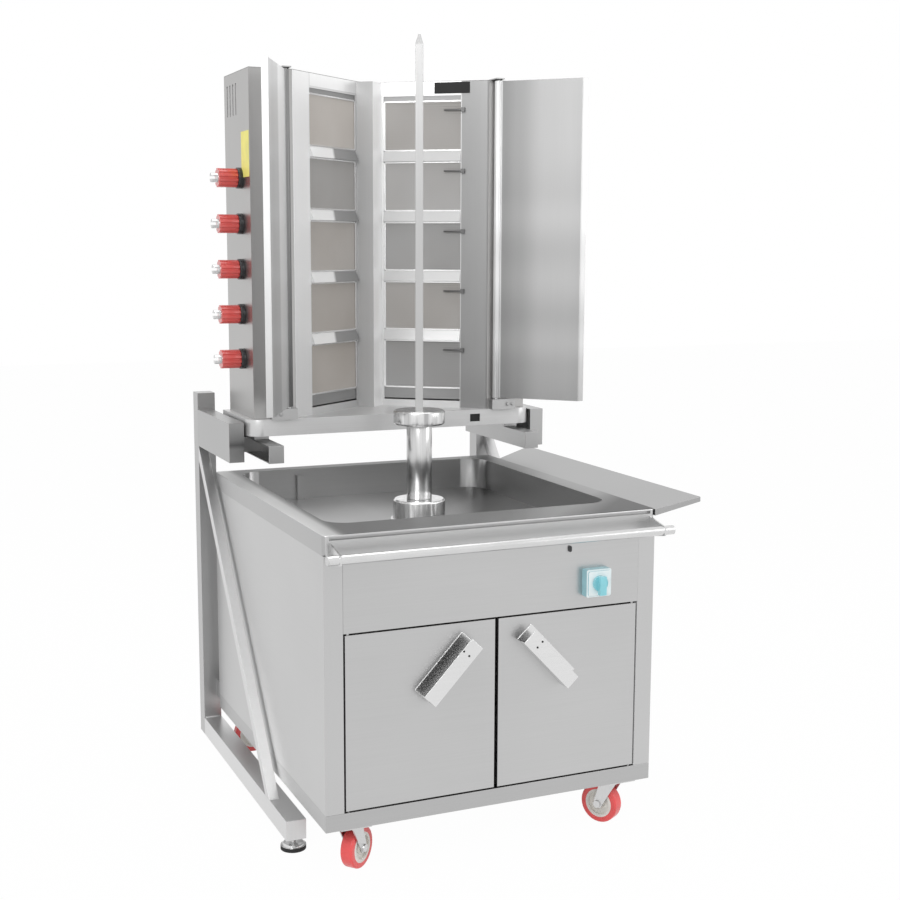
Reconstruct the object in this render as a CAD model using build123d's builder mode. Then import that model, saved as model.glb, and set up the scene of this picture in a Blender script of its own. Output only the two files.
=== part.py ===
from build123d import *
import math
import os

# Vertical kebab grill: a cabinet on castors with a recessed basin, a driven vertical spit,
# and a gas heater head that slides on two arms carried by a tube frame behind the cabinet.
# Millimetres, +Z up, front towards -Y. Pieces are drawn about the spit axis and moved
# together at the end, so that the origin is the bottom centre of the whole grill.

# Cabinet
cabinet_width = 850.0
cabinet_depth = 954.0
rim_height = 812.0
castor_height = 125.0
sheet = 1.5
pan_height = 40.0
pan_ledge = 25.0
corner_post_width = 45.0
corner_post_return = 25.0
fascia_height = 181.0
fascia_flange = 20.0
vent_slots = 8
vent_slot_length = 180.0
vent_slot_width = 8.0
vent_slot_pitch = 24.0

# Basin and its rim
lip_height = 46.0
rim_side = 55.0
rim_front = 120.0
rim_back = 45.0
rim_corner = 12.0
rim_edge = 3.0
rim_groove_height = 7.0
rim_groove_depth = 8.0
rim_groove_end = 14.0
basin_depth = 86.0
basin_corner = 60.0
guard_width = 22.0
guard_depth = 12.0
guard_height = 68.0
guard_offset = 190.0

# Side shelf on the right
shelf_width = 130.0
shelf_rise = 22.0
shelf_flange = 16.0
shelf_lip = 12.0
shelf_drop = 2.0
shelf_back_skew = 62.0
shelf_brace_gap = 50.0

# Front rail
rail_radius = 11.0
rail_reach = 62.0
rail_drop = 42.0
rail_overhang = 10.0
rail_bracket_inset = 18.0
rail_bracket_thickness = 4.0
rail_bracket_height = 50.0
rail_bracket_nose = 22.0

# Cabinet doors and handles
door_thickness = 18.0
door_clearance = 0.8
door_centre_gap = 9.0
door_pin_radius = 4.0
door_pin_inset = 8.0
door_pin_engagement = 12.0
running_fit = 0.05
handle_length = 172.0
handle_width = 38.0
handle_depth = 38.0
handle_sheet = 2.0
handle_foot_overhang = 12.0
handle_angle = 46.5
handle_centre_offset = 126.0
handle_below_door_top = 105.0

# Switch and indicator lamp
switch_size = 67.0
switch_depth = 22.0
switch_plate_inset = 4.0
switch_plate_depth = 3.0
switch_from_centre = 259.0
switch_below_fascia_top = 119.0
switch_knob_radius = 19.0
switch_knob_depth = 7.0
switch_grip_width = 17.0
switch_grip_depth = 12.0
switch_grip_reach = 26.0
spindle_radius = 4.0
spindle_engagement = 18.0
turning_gap = 0.5
lamp_height = 15.0
lamp_width = 8.0
lamp_depth = 4.0
lamp_from_centre = 190.0
lamp_below_fascia_top = 34.0

# Drive and spit
shaft_radius = 16.0
shaft_hole_gap = 3.0
housing_radius = 68.0
housing_height = 61.0
housing_foot_radius = 76.0
housing_foot_height = 9.0
tube_radius = 33.0
tube_wall = 3.0
tube_length = 196.0
tube_plug_height = 24.0
spit_flange_radius = 67.0
spit_flange_height = 37.0
spit_flange_chamfer = 4.0
spit_bar_size = 20.0
spit_bar_length = 947.0
spit_bar_socket = 32.0
spit_tip_length = 25.0
spit_tip_size = 5.0
spit_rest_angle = -23.7
gearbox_width = 150.0
gearbox_depth = 120.0
gearbox_height = 130.0
gearbox_plate_size = 210.0
gearbox_plate_thickness = 6.0
motor_radius = 60.0
motor_length = 190.0
motor_drop = 68.0
shaft_engagement = 70.0

# Castors
wheel_radius = 50.0
wheel_width = 32.0
hub_radius = 36.0
hub_recess = 7.0
hub_boss_radius = 14.0
tyre_edge = 5.0
castor_offset = 30.0
castor_front_inset = 75.0
castor_rear_inset = 110.0
castor_end_inset = 50.0
castor_plate_length = 95.0
castor_plate_width = 75.0
castor_plate_thickness = 3.0
castor_race_radius = 22.0
castor_race_height = 5.5
kingpin_radius = 6.0
kingpin_head_radius = 10.0
kingpin_head_height = 3.5
fork_sheet = 3.0
fork_side_gap = 2.5
axle_radius = 5.0
axle_head_radius = 9.0
axle_head_height = 4.0
castor_gap = 0.5
castor_turn = {"front_left": 39.6, "front_right": 121.3, "rear_left": 175.0, "rear_right": 110.0}

# Rear frame
tube_size = 50.0
frame_wall = 3.0
post_overhang = 33.0
post_top = 1030.0
frame_ground_gap = 30.0
foot_tube_reach = 805.0
cross_tube_low = 140.0
cross_tube_high = 690.0
cross_tube_inset = 6.0
brace_width = 26.0
brace_foot_from_end = 143.0
foot_stem_radius = 6.0
foot_pad_radius = 31.0
foot_pad_height = 10.0
foot_disc_radius = 27.0
foot_disc_height = 6.0
foot_nut_radius = 11.0
foot_nut_height = 6.0
foot_from_end = 26.0

# Arms that carry the heater, and the sliding beams
arm_width = 40.0
arm_height = 104.0
arm_length = 342.0
deck_top = 992.0
arm_below_deck = 8.0
slide_gap = 0.3
beam_width = 40.0
beam_gap = 33.0
beam_drop = 102.0
beam_nose = 95.0
beam_nose_height = 45.0
beam_tail = 40.0
runner_length = 40.0
runner_front = 110.0
runner_pitch = 140.0

# Heater head
heater_height = 896.0
casing_depth = 240.0
casing_to_posts = 107.0
deck_side_gap = 8.0
deck_lip = 15.0
deck_back_lip = 10.0
deck_skirt = 44.0
deck_corner = 40.0
deck_slot_width = 30.0
deck_slot_height = 21.0
deck_slot_from_centre = 236.0
casing_inset = 18.0
casing_return = 114.0
casing_tab = 25.0
facet_depth = 187.0
centre_half_width = 34.0
centre_post_stand = 34.0
centre_post_overlap = 3.0
casing_slots = 4
casing_slot_width = 9.0
casing_slot_height = 80.0
casing_slot_pitch = 28.0
top_slots = 9
top_slot_length = 32.0
top_slot_from_back = 8.0
top_slot_width = 7.0
top_slot_pitch = 60.0

# Radiant burners
burner_rows = 5
burner_width = 220.0
burner_height = 127.0
burner_from_centre = 10.0
burner_first = 57.0
burner_header = 56.0
plaque_thickness = 15.0
burner_box_wall = 4.0
burner_box_depth = 36.0
header_slot_height = 13.0
header_slot_below_top = 52.0
base_slot_height = 33.0
base_slot_above_deck = 19.0
shield_depth = 11.0
shield_height = 27.0
igniter_radius = 2.2
igniter_length = 52.0
igniter_stand = 6.0
igniter_foot = 12.0
igniter_below_row_top = 22.0

# Gas taps and pipes
tap_from_front = 88.0
tap_first = 153.0
tap_last_below_top = 273.0
tap_bezel_radius = 27.0
tap_bezel_depth = 12.0
tap_knob_radius = 24.5
tap_knob_length = 50.0
tap_ribs = 12
tap_rib_radius = 3.0
tap_tip_radius = 12.0
tap_tip_length = 17.0
tap_tip_slot = 7.0
tap_engagement = 32.0
tap_hole_radius = 8.0
manifold_radius = 10.0
manifold_inset = 30.0
manifold_overrun = 40.0
stub_radius = 7.0
branch_radius = 5.0
branch_from_back = 18.0
gas_inlet_radius = 8.0
gas_inlet_reach = 34.0
gas_union_radius = 10.5
gas_union_length = 26.0
gas_inlet_above_deck = 62.0

# Badge
badge_width = 100.0
badge_height = 30.0
badge_thickness = 2.0
badge_from_centre = 155.0
badge_below_top = 2.0

# Wind doors
wind_door_length = 237.0
wind_door_flange = 18.0
wind_door_bend = 50.0
wind_door_left_angle = 243.0
wind_door_right_angle = -45.8
wind_pin_radius = 5.0
wind_pin_length = 24.0
wind_sleeve_radius = 10.0
wind_door_gap = 4.0
wind_hinge_from_corner = 22.0
wind_hinge_stand = 15.0
hinge_block_width = 70.0
hinge_block_depth = 30.0
hinge_block_height = 28.0
hinge_block_overlap = 18.0
hinge_strap_width = 24.0
hinge_strap_thickness = 3.0

# Cabinet levels and faces that follow from the sizes
half_w = cabinet_width / 2
half_d = cabinet_depth / 2
front = -half_d
pan_top = castor_height + pan_height
shell_top = rim_height - lip_height
fascia_low = shell_top - fascia_height
opening_half = half_w - corner_post_width
basin_floor = rim_height - basin_depth
basin_under = basin_floor - sheet

# Frame, arms and beams
post_outer = half_w + post_overhang
post_inner = post_outer - tube_size
post_front = half_d + tube_size
post_back = post_front + tube_size
foot_tube_top = frame_ground_gap + tube_size
foot_tube_front = post_front - foot_tube_reach
foot_centre_x = post_outer - tube_size / 2
foot_centre_y = foot_tube_front + foot_from_end
arm_inner = post_outer - arm_width
arm_high = deck_top - arm_below_deck
arm_low = arm_high - arm_height
arm_front = post_front - arm_length
beam_outer = arm_inner - beam_gap
beam_inner = beam_outer - beam_width
beam_low = deck_top - beam_drop

# Slanted braces: the front edge runs from the foot tube to the corner under the arm
brace_foot = foot_tube_front + brace_foot_from_end
brace_slope = math.atan2(arm_low - foot_tube_top, post_front - brace_foot)
brace_run = brace_width / math.sin(brace_slope)
brace_rise = brace_width / math.cos(brace_slope)
brace_wall_run = frame_wall / math.sin(brace_slope)
brace_wall_rise = frame_wall / math.cos(brace_slope)

# Heater head outline, drawn from the back forwards
casing_back = post_front - casing_to_posts
casing_front = casing_back - casing_depth
deck_half = arm_inner - deck_side_gap
deck_front = casing_front - deck_lip
deck_back = casing_back + deck_back_lip
deck_low = deck_top - deck_skirt
casing_half = deck_half - casing_inset
wing_x = casing_half - casing_return
heater_top_z = deck_top + heater_height
centre_y = casing_front + facet_depth
facet_length = math.hypot(wing_x - centre_half_width, facet_depth)
facet_turn = math.degrees(math.atan2(facet_depth, wing_x - centre_half_width))
burner_pitch = (heater_height - burner_first - burner_header - burner_height) / (burner_rows - 1)
tap_y = casing_front + tap_from_front
tap_pitch = (heater_height - tap_first - tap_last_below_top) / (burner_rows - 1)
manifold_x = -casing_half + manifold_inset

# Spit levels
housing_top = basin_floor + housing_height
tube_low = housing_top + turning_gap
tube_high = tube_low + tube_length
spit_flange_top = tube_high + spit_flange_height
shaft_top = tube_high - spit_bar_socket
spit_tip_base = spit_flange_top + spit_bar_length - spit_tip_length

# Door hinge axis: the gap beside a door lets its outer corner swing past the post
door_side_gap = math.hypot(door_pin_inset, door_pin_inset) - door_pin_inset + door_clearance
door_outer = opening_half - door_side_gap
door_axis_x = door_outer - door_pin_inset
door_axis_y = front + door_pin_inset
door_low = pan_top + door_side_gap
door_high = fascia_low - door_side_gap

# Wind door hinge axis
hinge_x = wing_x + wind_hinge_from_corner
hinge_y = casing_front - wind_hinge_stand
wind_low = deck_top + hinge_block_height + wind_door_gap
wind_high = heater_top_z - wind_door_gap

# One facet of the burner face: local x runs outwards along it, local y is up, normal to the front
facet = Plane(
    origin=(centre_half_width, centre_y, 0),
    x_dir=(wing_x - centre_half_width, -facet_depth, 0),
    z_dir=(-facet_depth, -(wing_x - centre_half_width), 0),
)


def across(y):
    """Plane of an X-Z outline, extruded towards the front."""
    return Plane(origin=(0, y, 0), x_dir=(1, 0, 0), z_dir=(0, -1, 0))


def sideways(x):
    """Plane of a Y-Z outline, extruded towards +X."""
    return Plane(origin=(x, 0, 0), x_dir=(0, 1, 0), z_dir=(1, 0, 0))


def block(x, y, z, mode=Mode.ADD):
    """Box between the low and high ends given for each axis."""
    with Locations(((x[0] + x[1]) / 2, (y[0] + y[1]) / 2, (z[0] + z[1]) / 2)):
        Box(x[1] - x[0], y[1] - y[0], z[1] - z[0], mode=mode)


def rod(start, radius, length, axis="Z", mode=Mode.ADD):
    """Cylinder from the centre of one end along +X, +Y or +Z."""
    turn = {"X": (0, 90, 0), "Y": (-90, 0, 0), "Z": (0, 0, 0)}[axis]
    with Locations(Location(start, turn)):
        Cylinder(radius, length, align=(Align.CENTER, Align.CENTER, Align.MIN), mode=mode)


def prism(points, plane, length, mode=Mode.ADD):
    """Closed outline on a plane, extruded along its normal."""
    with BuildSketch(plane) as outline:
        with BuildLine():
            Polyline(*points, close=True)
        make_face()
    extrude(outline.sketch, amount=length, mode=mode)


def facet_panel(u, z, depth, mode=Mode.ADD):
    """Block on the burner facet: u along it, z up, depth from front to back of its face."""
    with BuildSketch(facet.offset(-depth[0])) as panel:
        with Locations(((u[0] + u[1]) / 2, (z[0] + z[1]) / 2)):
            Rectangle(u[1] - u[0], z[1] - z[0])
    extrude(panel.sketch, amount=-(depth[1] - depth[0]), mode=mode)


def row_low(row):
    """Height of the lower edge of a burner row."""
    return deck_top + burner_first + row * burner_pitch


def tap_height(row):
    """Height of a gas tap's axis."""
    return deck_top + tap_first + row * tap_pitch


# Cabinet floor pan
with BuildPart() as floor_pan:
    block((-half_w, half_w), (-half_d, half_d), (castor_height, pan_top))
    block(
        (-half_w + sheet, half_w - sheet),
        (-half_d + sheet, half_d - sheet),
        (castor_height + sheet, pan_top),
        mode=Mode.SUBTRACT,
    )
    block((-half_w, half_w), (front, front + pan_ledge), (pan_top - sheet, pan_top))

# Sides, back and front corner posts, folded from one sheet
with BuildPart() as cabinet_shell:
    with BuildSketch(Plane.XY.offset(pan_top)):
        Rectangle(cabinet_width, cabinet_depth)
        Rectangle(cabinet_width - 2 * sheet, cabinet_depth - 2 * sheet, mode=Mode.SUBTRACT)
        with Locations((0, front)):
            Rectangle(2 * opening_half, 4 * sheet, mode=Mode.SUBTRACT)
        for x in (-opening_half - sheet / 2, opening_half + sheet / 2):
            with Locations((x, front + corner_post_return / 2)):
                Rectangle(sheet, corner_post_return)
    extrude(amount=shell_top - pan_top)
    for slot in range(vent_slots):
        slot_z = cross_tube_low + 2 * tube_size + (slot + 0.5) * vent_slot_pitch
        block(
            (-vent_slot_length / 2, vent_slot_length / 2),
            (half_d - 2 * sheet, half_d + sheet),
            (slot_z, slot_z + vent_slot_width),
            mode=Mode.SUBTRACT,
        )

# Front panel above the doors
with BuildPart() as control_fascia:
    block((-opening_half, opening_half), (front, front + fascia_flange), (fascia_low, shell_top))
    block(
        (-opening_half + sheet, opening_half - sheet),
        (front + sheet, front + fascia_flange),
        (fascia_low + sheet, shell_top - sheet),
        mode=Mode.SUBTRACT,
    )

# Basin with its rim, skirt and rear drain guard
basin_centre_y = (rim_front - rim_back) / 2
basin_width = cabinet_width - 2 * rim_side
basin_length = cabinet_depth - rim_front - rim_back
with BuildPart() as basin_top:
    with BuildSketch(Plane.XY.offset(shell_top)):
        RectangleRounded(cabinet_width, cabinet_depth, rim_corner)
    extrude(amount=lip_height)
    fillet(basin_top.edges().group_by(Axis.Z)[-1], rim_edge)
    with BuildSketch(Plane.XY.offset(shell_top)):
        RectangleRounded(cabinet_width - 2 * sheet, cabinet_depth - 2 * sheet, rim_corner - sheet)
    extrude(amount=lip_height - rim_edge - sheet, mode=Mode.SUBTRACT)
    # Fold set back under the front edge, which shows as a dark groove above the lip
    groove_high = rim_height - rim_edge - sheet
    groove_low = groove_high - rim_groove_height
    groove_half = half_w - rim_groove_end
    block(
        (-groove_half - sheet, groove_half + sheet),
        (front + sheet / 2, front + rim_groove_depth + sheet),
        (groove_low - sheet, groove_high + sheet / 2),
    )
    block(
        (-groove_half, groove_half),
        (front - sheet, front + rim_groove_depth),
        (groove_low, groove_high),
        mode=Mode.SUBTRACT,
    )
    with BuildSketch(Plane.XY.offset(basin_under)):
        with Locations((0, basin_centre_y)):
            RectangleRounded(basin_width + 2 * sheet, basin_length + 2 * sheet, basin_corner + sheet)
    extrude(amount=basin_depth)
    with BuildSketch(Plane.XY.offset(basin_floor)):
        with Locations((0, basin_centre_y)):
            RectangleRounded(basin_width, basin_length, basin_corner)
    extrude(amount=basin_depth + rim_edge, mode=Mode.SUBTRACT)
    guard_back = half_d - rim_back
    block(
        (-guard_offset - guard_width / 2, -guard_offset + guard_width / 2),
        (guard_back - guard_depth, guard_back),
        (basin_floor, basin_floor + guard_height),
    )
    rod((0, 0, basin_under), shaft_radius + shaft_hole_gap, sheet, mode=Mode.SUBTRACT)

# Side shelf with folded end gussets
shelf_root = rim_height - shelf_drop
shelf_foot = shelf_root - shelf_flange
shelf_edge = half_w + shelf_width
shelf_high = shelf_root + shelf_rise
shelf_outline = [
    (half_w, shelf_foot),
    (half_w, shelf_root),
    (shelf_edge, shelf_high),
    (shelf_edge, shelf_high - shelf_lip),
]
shelf_plate = sheet / math.cos(math.atan2(shelf_rise, shelf_width))
shelf_step = sheet * shelf_rise / shelf_width
with BuildPart() as side_shelf:
    prism(shelf_outline, across(half_d), cabinet_depth)
    shelf_hollow = [
        (half_w + sheet, shelf_foot - shelf_flange),
        (half_w + sheet, shelf_root - shelf_plate + shelf_step),
        (shelf_edge - sheet, shelf_high - shelf_plate - shelf_step),
        (shelf_edge - sheet, shelf_foot - shelf_flange),
    ]
    prism(shelf_hollow, across(half_d - sheet), cabinet_depth - 2 * sheet, mode=Mode.SUBTRACT)
    # The back end is cut at a slant, clear of the right brace
    brace_face = brace_foot + (shelf_root - shelf_plate - foot_tube_top) / math.tan(brace_slope)
    shelf_back_run = shelf_back_skew * (post_outer - half_w) / shelf_width
    shelf_back_root = brace_face - shelf_brace_gap - shelf_back_run
    shelf_cut_end = shelf_back_root + cabinet_depth
    shelf_back_cut = [
        (half_w, shelf_back_root),
        (shelf_edge, shelf_back_root + shelf_back_skew),
        (shelf_edge, shelf_cut_end),
        (half_w, shelf_cut_end),
    ]
    prism(shelf_back_cut, Plane.XY.offset(shelf_foot), shelf_flange + shelf_rise, mode=Mode.SUBTRACT)

# Front rail with its two welded brackets
rail_y = front - rail_reach
rail_z = rim_height - rail_drop
rail_half = half_w + rail_overhang
bracket_x = half_w - rail_bracket_inset
with BuildPart() as front_rail:
    rod((-rail_half, rail_y, rail_z), rail_radius, 2 * rail_half, "X")
    bracket_outline = [
        (front, rail_z - rail_bracket_height / 2),
        (front, rail_z + rail_bracket_height / 2),
        (rail_y - rail_radius, rail_z + rail_bracket_nose / 2),
        (rail_y - rail_radius, rail_z - rail_bracket_nose / 2),
    ]
    for x in (-bracket_x - rail_bracket_thickness, bracket_x):
        prism(bracket_outline, sideways(x), rail_bracket_thickness)

# Cabinet doors, hinged on pins at their outer corners
with BuildPart() as door_left:
    block(
        (-door_outer, -door_centre_gap / 2),
        (front, front + door_thickness),
        (door_low, door_high),
    )
    block(
        (-door_outer + sheet, -door_centre_gap / 2 - sheet),
        (front + sheet, front + door_thickness),
        (door_low + sheet, door_high - sheet),
        mode=Mode.SUBTRACT,
    )
    rod(
        (-door_axis_x, door_axis_y, door_low - sheet),
        door_pin_radius + running_fit,
        door_high - door_low + 2 * sheet,
        mode=Mode.SUBTRACT,
    )
with BuildPart() as door_right:
    mirror(door_left.part, about=Plane.YZ)

with BuildPart() as door_pins:
    pin_length = door_side_gap + door_pin_engagement
    for x in (-door_axis_x, door_axis_x):
        rod((x, door_axis_y, pan_top), door_pin_radius, pin_length)
        rod((x, door_axis_y, fascia_low - pin_length), door_pin_radius, pin_length)

# Door handles: channels set at a slant, open on their upper outer side
lean = math.radians(handle_angle)
handle_plane = Plane(
    origin=(-handle_centre_offset, front, door_high - handle_below_door_top),
    x_dir=(math.cos(lean), 0, math.sin(lean)),
    z_dir=(0, -1, 0),
)
with BuildPart() as door_handle_left:
    with BuildSketch(handle_plane):
        Rectangle(handle_length, handle_width)
    extrude(amount=handle_depth)
    with BuildSketch(handle_plane):
        with Locations((0, handle_foot_overhang / 2)):
            Rectangle(handle_length, handle_width + handle_foot_overhang)
    extrude(amount=handle_sheet)
    with BuildSketch(handle_plane.offset(handle_sheet)):
        with Locations((0, handle_sheet)):
            Rectangle(handle_length + handle_sheet, handle_width)
    extrude(amount=handle_depth - 2 * handle_sheet, mode=Mode.SUBTRACT)
with BuildPart() as door_handle_right:
    mirror(door_handle_left.part, about=Plane.YZ)

# Switch box, its rotary knob, and the indicator lamp
switch_z = shell_top - switch_below_fascia_top
with BuildPart() as switch_box:
    with BuildSketch(across(front)):
        with Locations((switch_from_centre, switch_z)):
            RectangleRounded(switch_size, switch_size, switch_plate_inset)
    extrude(amount=switch_depth)
    plate_size = switch_size - 2 * switch_plate_inset
    with BuildSketch(across(front - switch_depth)):
        with Locations((switch_from_centre, switch_z)):
            RectangleRounded(plate_size, plate_size, switch_plate_inset)
    extrude(amount=switch_plate_depth)
    switch_face = front - switch_depth - switch_plate_depth
    rod(
        (switch_from_centre, switch_face, switch_z),
        spindle_radius + running_fit,
        spindle_engagement + turning_gap,
        "Y",
        mode=Mode.SUBTRACT,
    )
with BuildPart() as switch_knob:
    knob_back = switch_face - turning_gap
    rod(
        (switch_from_centre, knob_back - switch_knob_depth, switch_z),
        switch_knob_radius,
        switch_knob_depth,
        "Y",
    )
    grip_half = switch_grip_width / 2
    block(
        (switch_from_centre - grip_half, switch_from_centre + grip_half),
        (knob_back - switch_knob_depth - switch_grip_depth, knob_back - switch_knob_depth),
        (switch_z - switch_grip_reach, switch_z + switch_knob_radius),
    )
    rod((switch_from_centre, knob_back, switch_z), spindle_radius, spindle_engagement, "Y")
with BuildPart() as indicator_lamp:
    with BuildSketch(across(front)):
        with Locations((lamp_from_centre, shell_top - lamp_below_fascia_top)):
            SlotOverall(lamp_height, lamp_width, rotation=90)
    extrude(amount=lamp_depth)

# Gearmotor hung under the basin, with the shaft coming up through the floor
gearbox_high = basin_under - gearbox_plate_thickness
with BuildPart() as gearmotor:
    block(
        (-gearbox_plate_size / 2, gearbox_plate_size / 2),
        (-gearbox_plate_size / 2, gearbox_plate_size / 2),
        (gearbox_high, basin_under),
    )
    block(
        (-gearbox_width / 2, gearbox_width / 2),
        (-gearbox_depth / 2, gearbox_depth / 2),
        (gearbox_high - gearbox_height, gearbox_high),
    )
    rod((0, gearbox_depth / 2, gearbox_high - motor_drop), motor_radius, motor_length, "Y")
    bore_low = basin_under - shaft_engagement - turning_gap
    rod(
        (0, 0, bore_low),
        shaft_radius + running_fit,
        basin_under - bore_low,
        mode=Mode.SUBTRACT,
    )

with BuildPart() as shaft_housing:
    rod((0, 0, basin_floor), housing_radius, housing_height)
    rod((0, 0, basin_floor), housing_foot_radius, housing_foot_height)
    rod((0, 0, basin_floor), shaft_radius + running_fit, housing_height, mode=Mode.SUBTRACT)
    chamfer(shaft_housing.faces().sort_by(Axis.Z)[-1].outer_wire().edges(), spit_flange_chamfer)

with BuildPart() as drive_shaft:
    shaft_low = basin_under - shaft_engagement
    rod((0, 0, shaft_low), shaft_radius, shaft_top - shaft_low)

with BuildPart() as spit_tube:
    rod((0, 0, tube_low), tube_radius, tube_length)
    rod((0, 0, tube_low), shaft_radius, tube_length, mode=Mode.SUBTRACT)
    rod(
        (0, 0, tube_low + tube_plug_height),
        tube_radius - tube_wall,
        tube_length - tube_plug_height,
        mode=Mode.SUBTRACT,
    )

with BuildPart() as spit_flange:
    rod((0, 0, tube_high), spit_flange_radius, spit_flange_height)
    chamfer(spit_flange.edges().filter_by(GeomType.CIRCLE), spit_flange_chamfer)
    with BuildSketch(Plane.XY.offset(tube_high)):
        Rectangle(spit_bar_size, spit_bar_size, rotation=spit_rest_angle)
    extrude(amount=spit_flange_height, mode=Mode.SUBTRACT)

# Square spit bar, turned so that a flat faces the cook, with a pointed tip
tip_taper = math.degrees(math.atan2((spit_bar_size - spit_tip_size) / 2, spit_tip_length))
with BuildPart() as spit_bar:
    with BuildSketch(Plane.XY.offset(shaft_top)):
        Rectangle(spit_bar_size, spit_bar_size, rotation=spit_rest_angle)
    extrude(amount=spit_tip_base - shaft_top)
    with BuildSketch(Plane.XY.offset(spit_tip_base)):
        Rectangle(spit_bar_size, spit_bar_size, rotation=spit_rest_angle)
    extrude(amount=spit_tip_length, taper=tip_taper)

# Castors, drawn with the kingpin on the Z axis and the wheel trailing along +X
fork_top = castor_height - castor_plate_thickness - castor_race_height - castor_gap
fork_under = fork_top - fork_sheet
fork_inner = wheel_width / 2 + fork_side_gap
fork_outer = fork_inner + fork_sheet
castor_front_x = half_w - castor_front_inset
castor_rear_x = half_w - castor_rear_inset
castor_y = half_d - castor_end_inset
castor_places = {
    "front_left": (-castor_front_x, -castor_y),
    "front_right": (castor_front_x, -castor_y),
    "rear_left": (-castor_rear_x, castor_y),
    "rear_right": (castor_rear_x, castor_y),
}


def castor_location(corner):
    """Place and heading of one castor under the floor pan."""
    x, y = castor_places[corner]
    return Location((x, y, 0), (0, 0, castor_turn[corner]))


def make_fork():
    """Fork with its axle bolt, one weldment."""
    with BuildPart() as fork:
        fork_back = -castor_race_radius
        fork_front = castor_offset + axle_head_radius
        block((fork_back, castor_race_radius), (-fork_outer, fork_outer), (fork_under, fork_top))
        leg = [
            (fork_back, fork_top),
            (castor_race_radius, fork_top),
            (fork_front, wheel_radius + axle_head_radius),
            (fork_front, wheel_radius - axle_head_radius),
            (castor_offset - axle_head_radius, wheel_radius - axle_head_radius),
        ]
        leg_plane = Plane(origin=(0, -fork_inner, 0), x_dir=(1, 0, 0), z_dir=(0, -1, 0))
        prism(leg, leg_plane, fork_sheet)
        prism(leg, leg_plane.offset(-2 * fork_inner - fork_sheet), fork_sheet)
        rod((0, 0, fork_under), kingpin_radius + running_fit, fork_sheet, mode=Mode.SUBTRACT)
        rod((castor_offset, -fork_outer, wheel_radius), axle_radius, 2 * fork_outer, "Y")
        for y in (-fork_outer - axle_head_height, fork_outer):
            rod((castor_offset, y, wheel_radius), axle_head_radius, axle_head_height, "Y")
    return fork.part


def make_hub():
    """Dished wheel centre running on the axle bolt."""
    with BuildPart() as hub:
        rod((castor_offset, -wheel_width / 2, wheel_radius), hub_radius, wheel_width, "Y")
        for y in (-wheel_width / 2, wheel_width / 2 - hub_recess):
            rod(
                (castor_offset, y, wheel_radius),
                hub_radius - hub_recess,
                hub_recess,
                "Y",
                mode=Mode.SUBTRACT,
            )
        rod((castor_offset, -wheel_width / 2, wheel_radius), hub_boss_radius, wheel_width, "Y")
        rod(
            (castor_offset, -wheel_width / 2, wheel_radius),
            axle_radius + running_fit,
            wheel_width,
            "Y",
            mode=Mode.SUBTRACT,
        )
    return hub.part


def make_tyre():
    """Tyre moulded round the hub."""
    with BuildPart() as tyre:
        rod((castor_offset, -wheel_width / 2, wheel_radius), wheel_radius, wheel_width, "Y")
        fillet(tyre.edges().filter_by(GeomType.CIRCLE), tyre_edge)
        rod(
            (castor_offset, -wheel_width / 2, wheel_radius),
            hub_radius,
            wheel_width,
            "Y",
            mode=Mode.SUBTRACT,
        )
    return tyre.part


castor_pieces = {}
for corner in castor_places:
    castor_pieces["castor_fork_" + corner] = castor_location(corner) * make_fork()
    castor_pieces["castor_hub_" + corner] = castor_location(corner) * make_hub()
    castor_pieces["castor_tyre_" + corner] = castor_location(corner) * make_tyre()

with BuildPart() as castor_plates:
    for x, y in castor_places.values():
        block(
            (x - castor_plate_width / 2, x + castor_plate_width / 2),
            (y - castor_plate_length / 2, y + castor_plate_length / 2),
            (castor_height - castor_plate_thickness, castor_height),
        )
        rod((x, y, fork_top + castor_gap), castor_race_radius, castor_race_height)
        pin_low = fork_under - castor_gap
        rod((x, y, pin_low), kingpin_radius, castor_height - pin_low)
        rod((x, y, pin_low - kingpin_head_height), kingpin_head_radius, kingpin_head_height)

# Rear frame: posts, cross tubes and foot tubes in square tube
with BuildPart() as frame_posts:
    block((-post_outer, -post_inner), (post_front, post_back), (frame_ground_gap, post_top))
    block(
        (-post_outer + frame_wall, -post_inner - frame_wall),
        (post_front + frame_wall, post_back - frame_wall),
        (frame_ground_gap, post_top - frame_wall),
        mode=Mode.SUBTRACT,
    )
    mirror(about=Plane.YZ)

# Cross tubes between the posts and the back of the cabinet
cross_tube_half = half_w - cross_tube_inset
with BuildPart() as frame_cross_tubes:
    for z in (cross_tube_low, cross_tube_high):
        block((-cross_tube_half, cross_tube_half), (half_d, post_front), (z, z + tube_size))
        block(
            (-cross_tube_half + frame_wall, cross_tube_half - frame_wall),
            (half_d + frame_wall, post_front - frame_wall),
            (z + frame_wall, z + tube_size - frame_wall),
            mode=Mode.SUBTRACT,
        )

with BuildPart() as frame_foot_tubes:
    block(
        (-post_outer, -post_inner),
        (foot_tube_front, post_front),
        (frame_ground_gap, foot_tube_top),
    )
    block(
        (-post_outer + frame_wall, -post_inner - frame_wall),
        (foot_tube_front + frame_wall, post_front),
        (frame_ground_gap + frame_wall, foot_tube_top - frame_wall),
        mode=Mode.SUBTRACT,
    )
    rod(
        (-foot_centre_x, foot_centre_y, frame_ground_gap),
        foot_stem_radius + running_fit,
        frame_wall,
        mode=Mode.SUBTRACT,
    )
    mirror(about=Plane.YZ)

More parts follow.
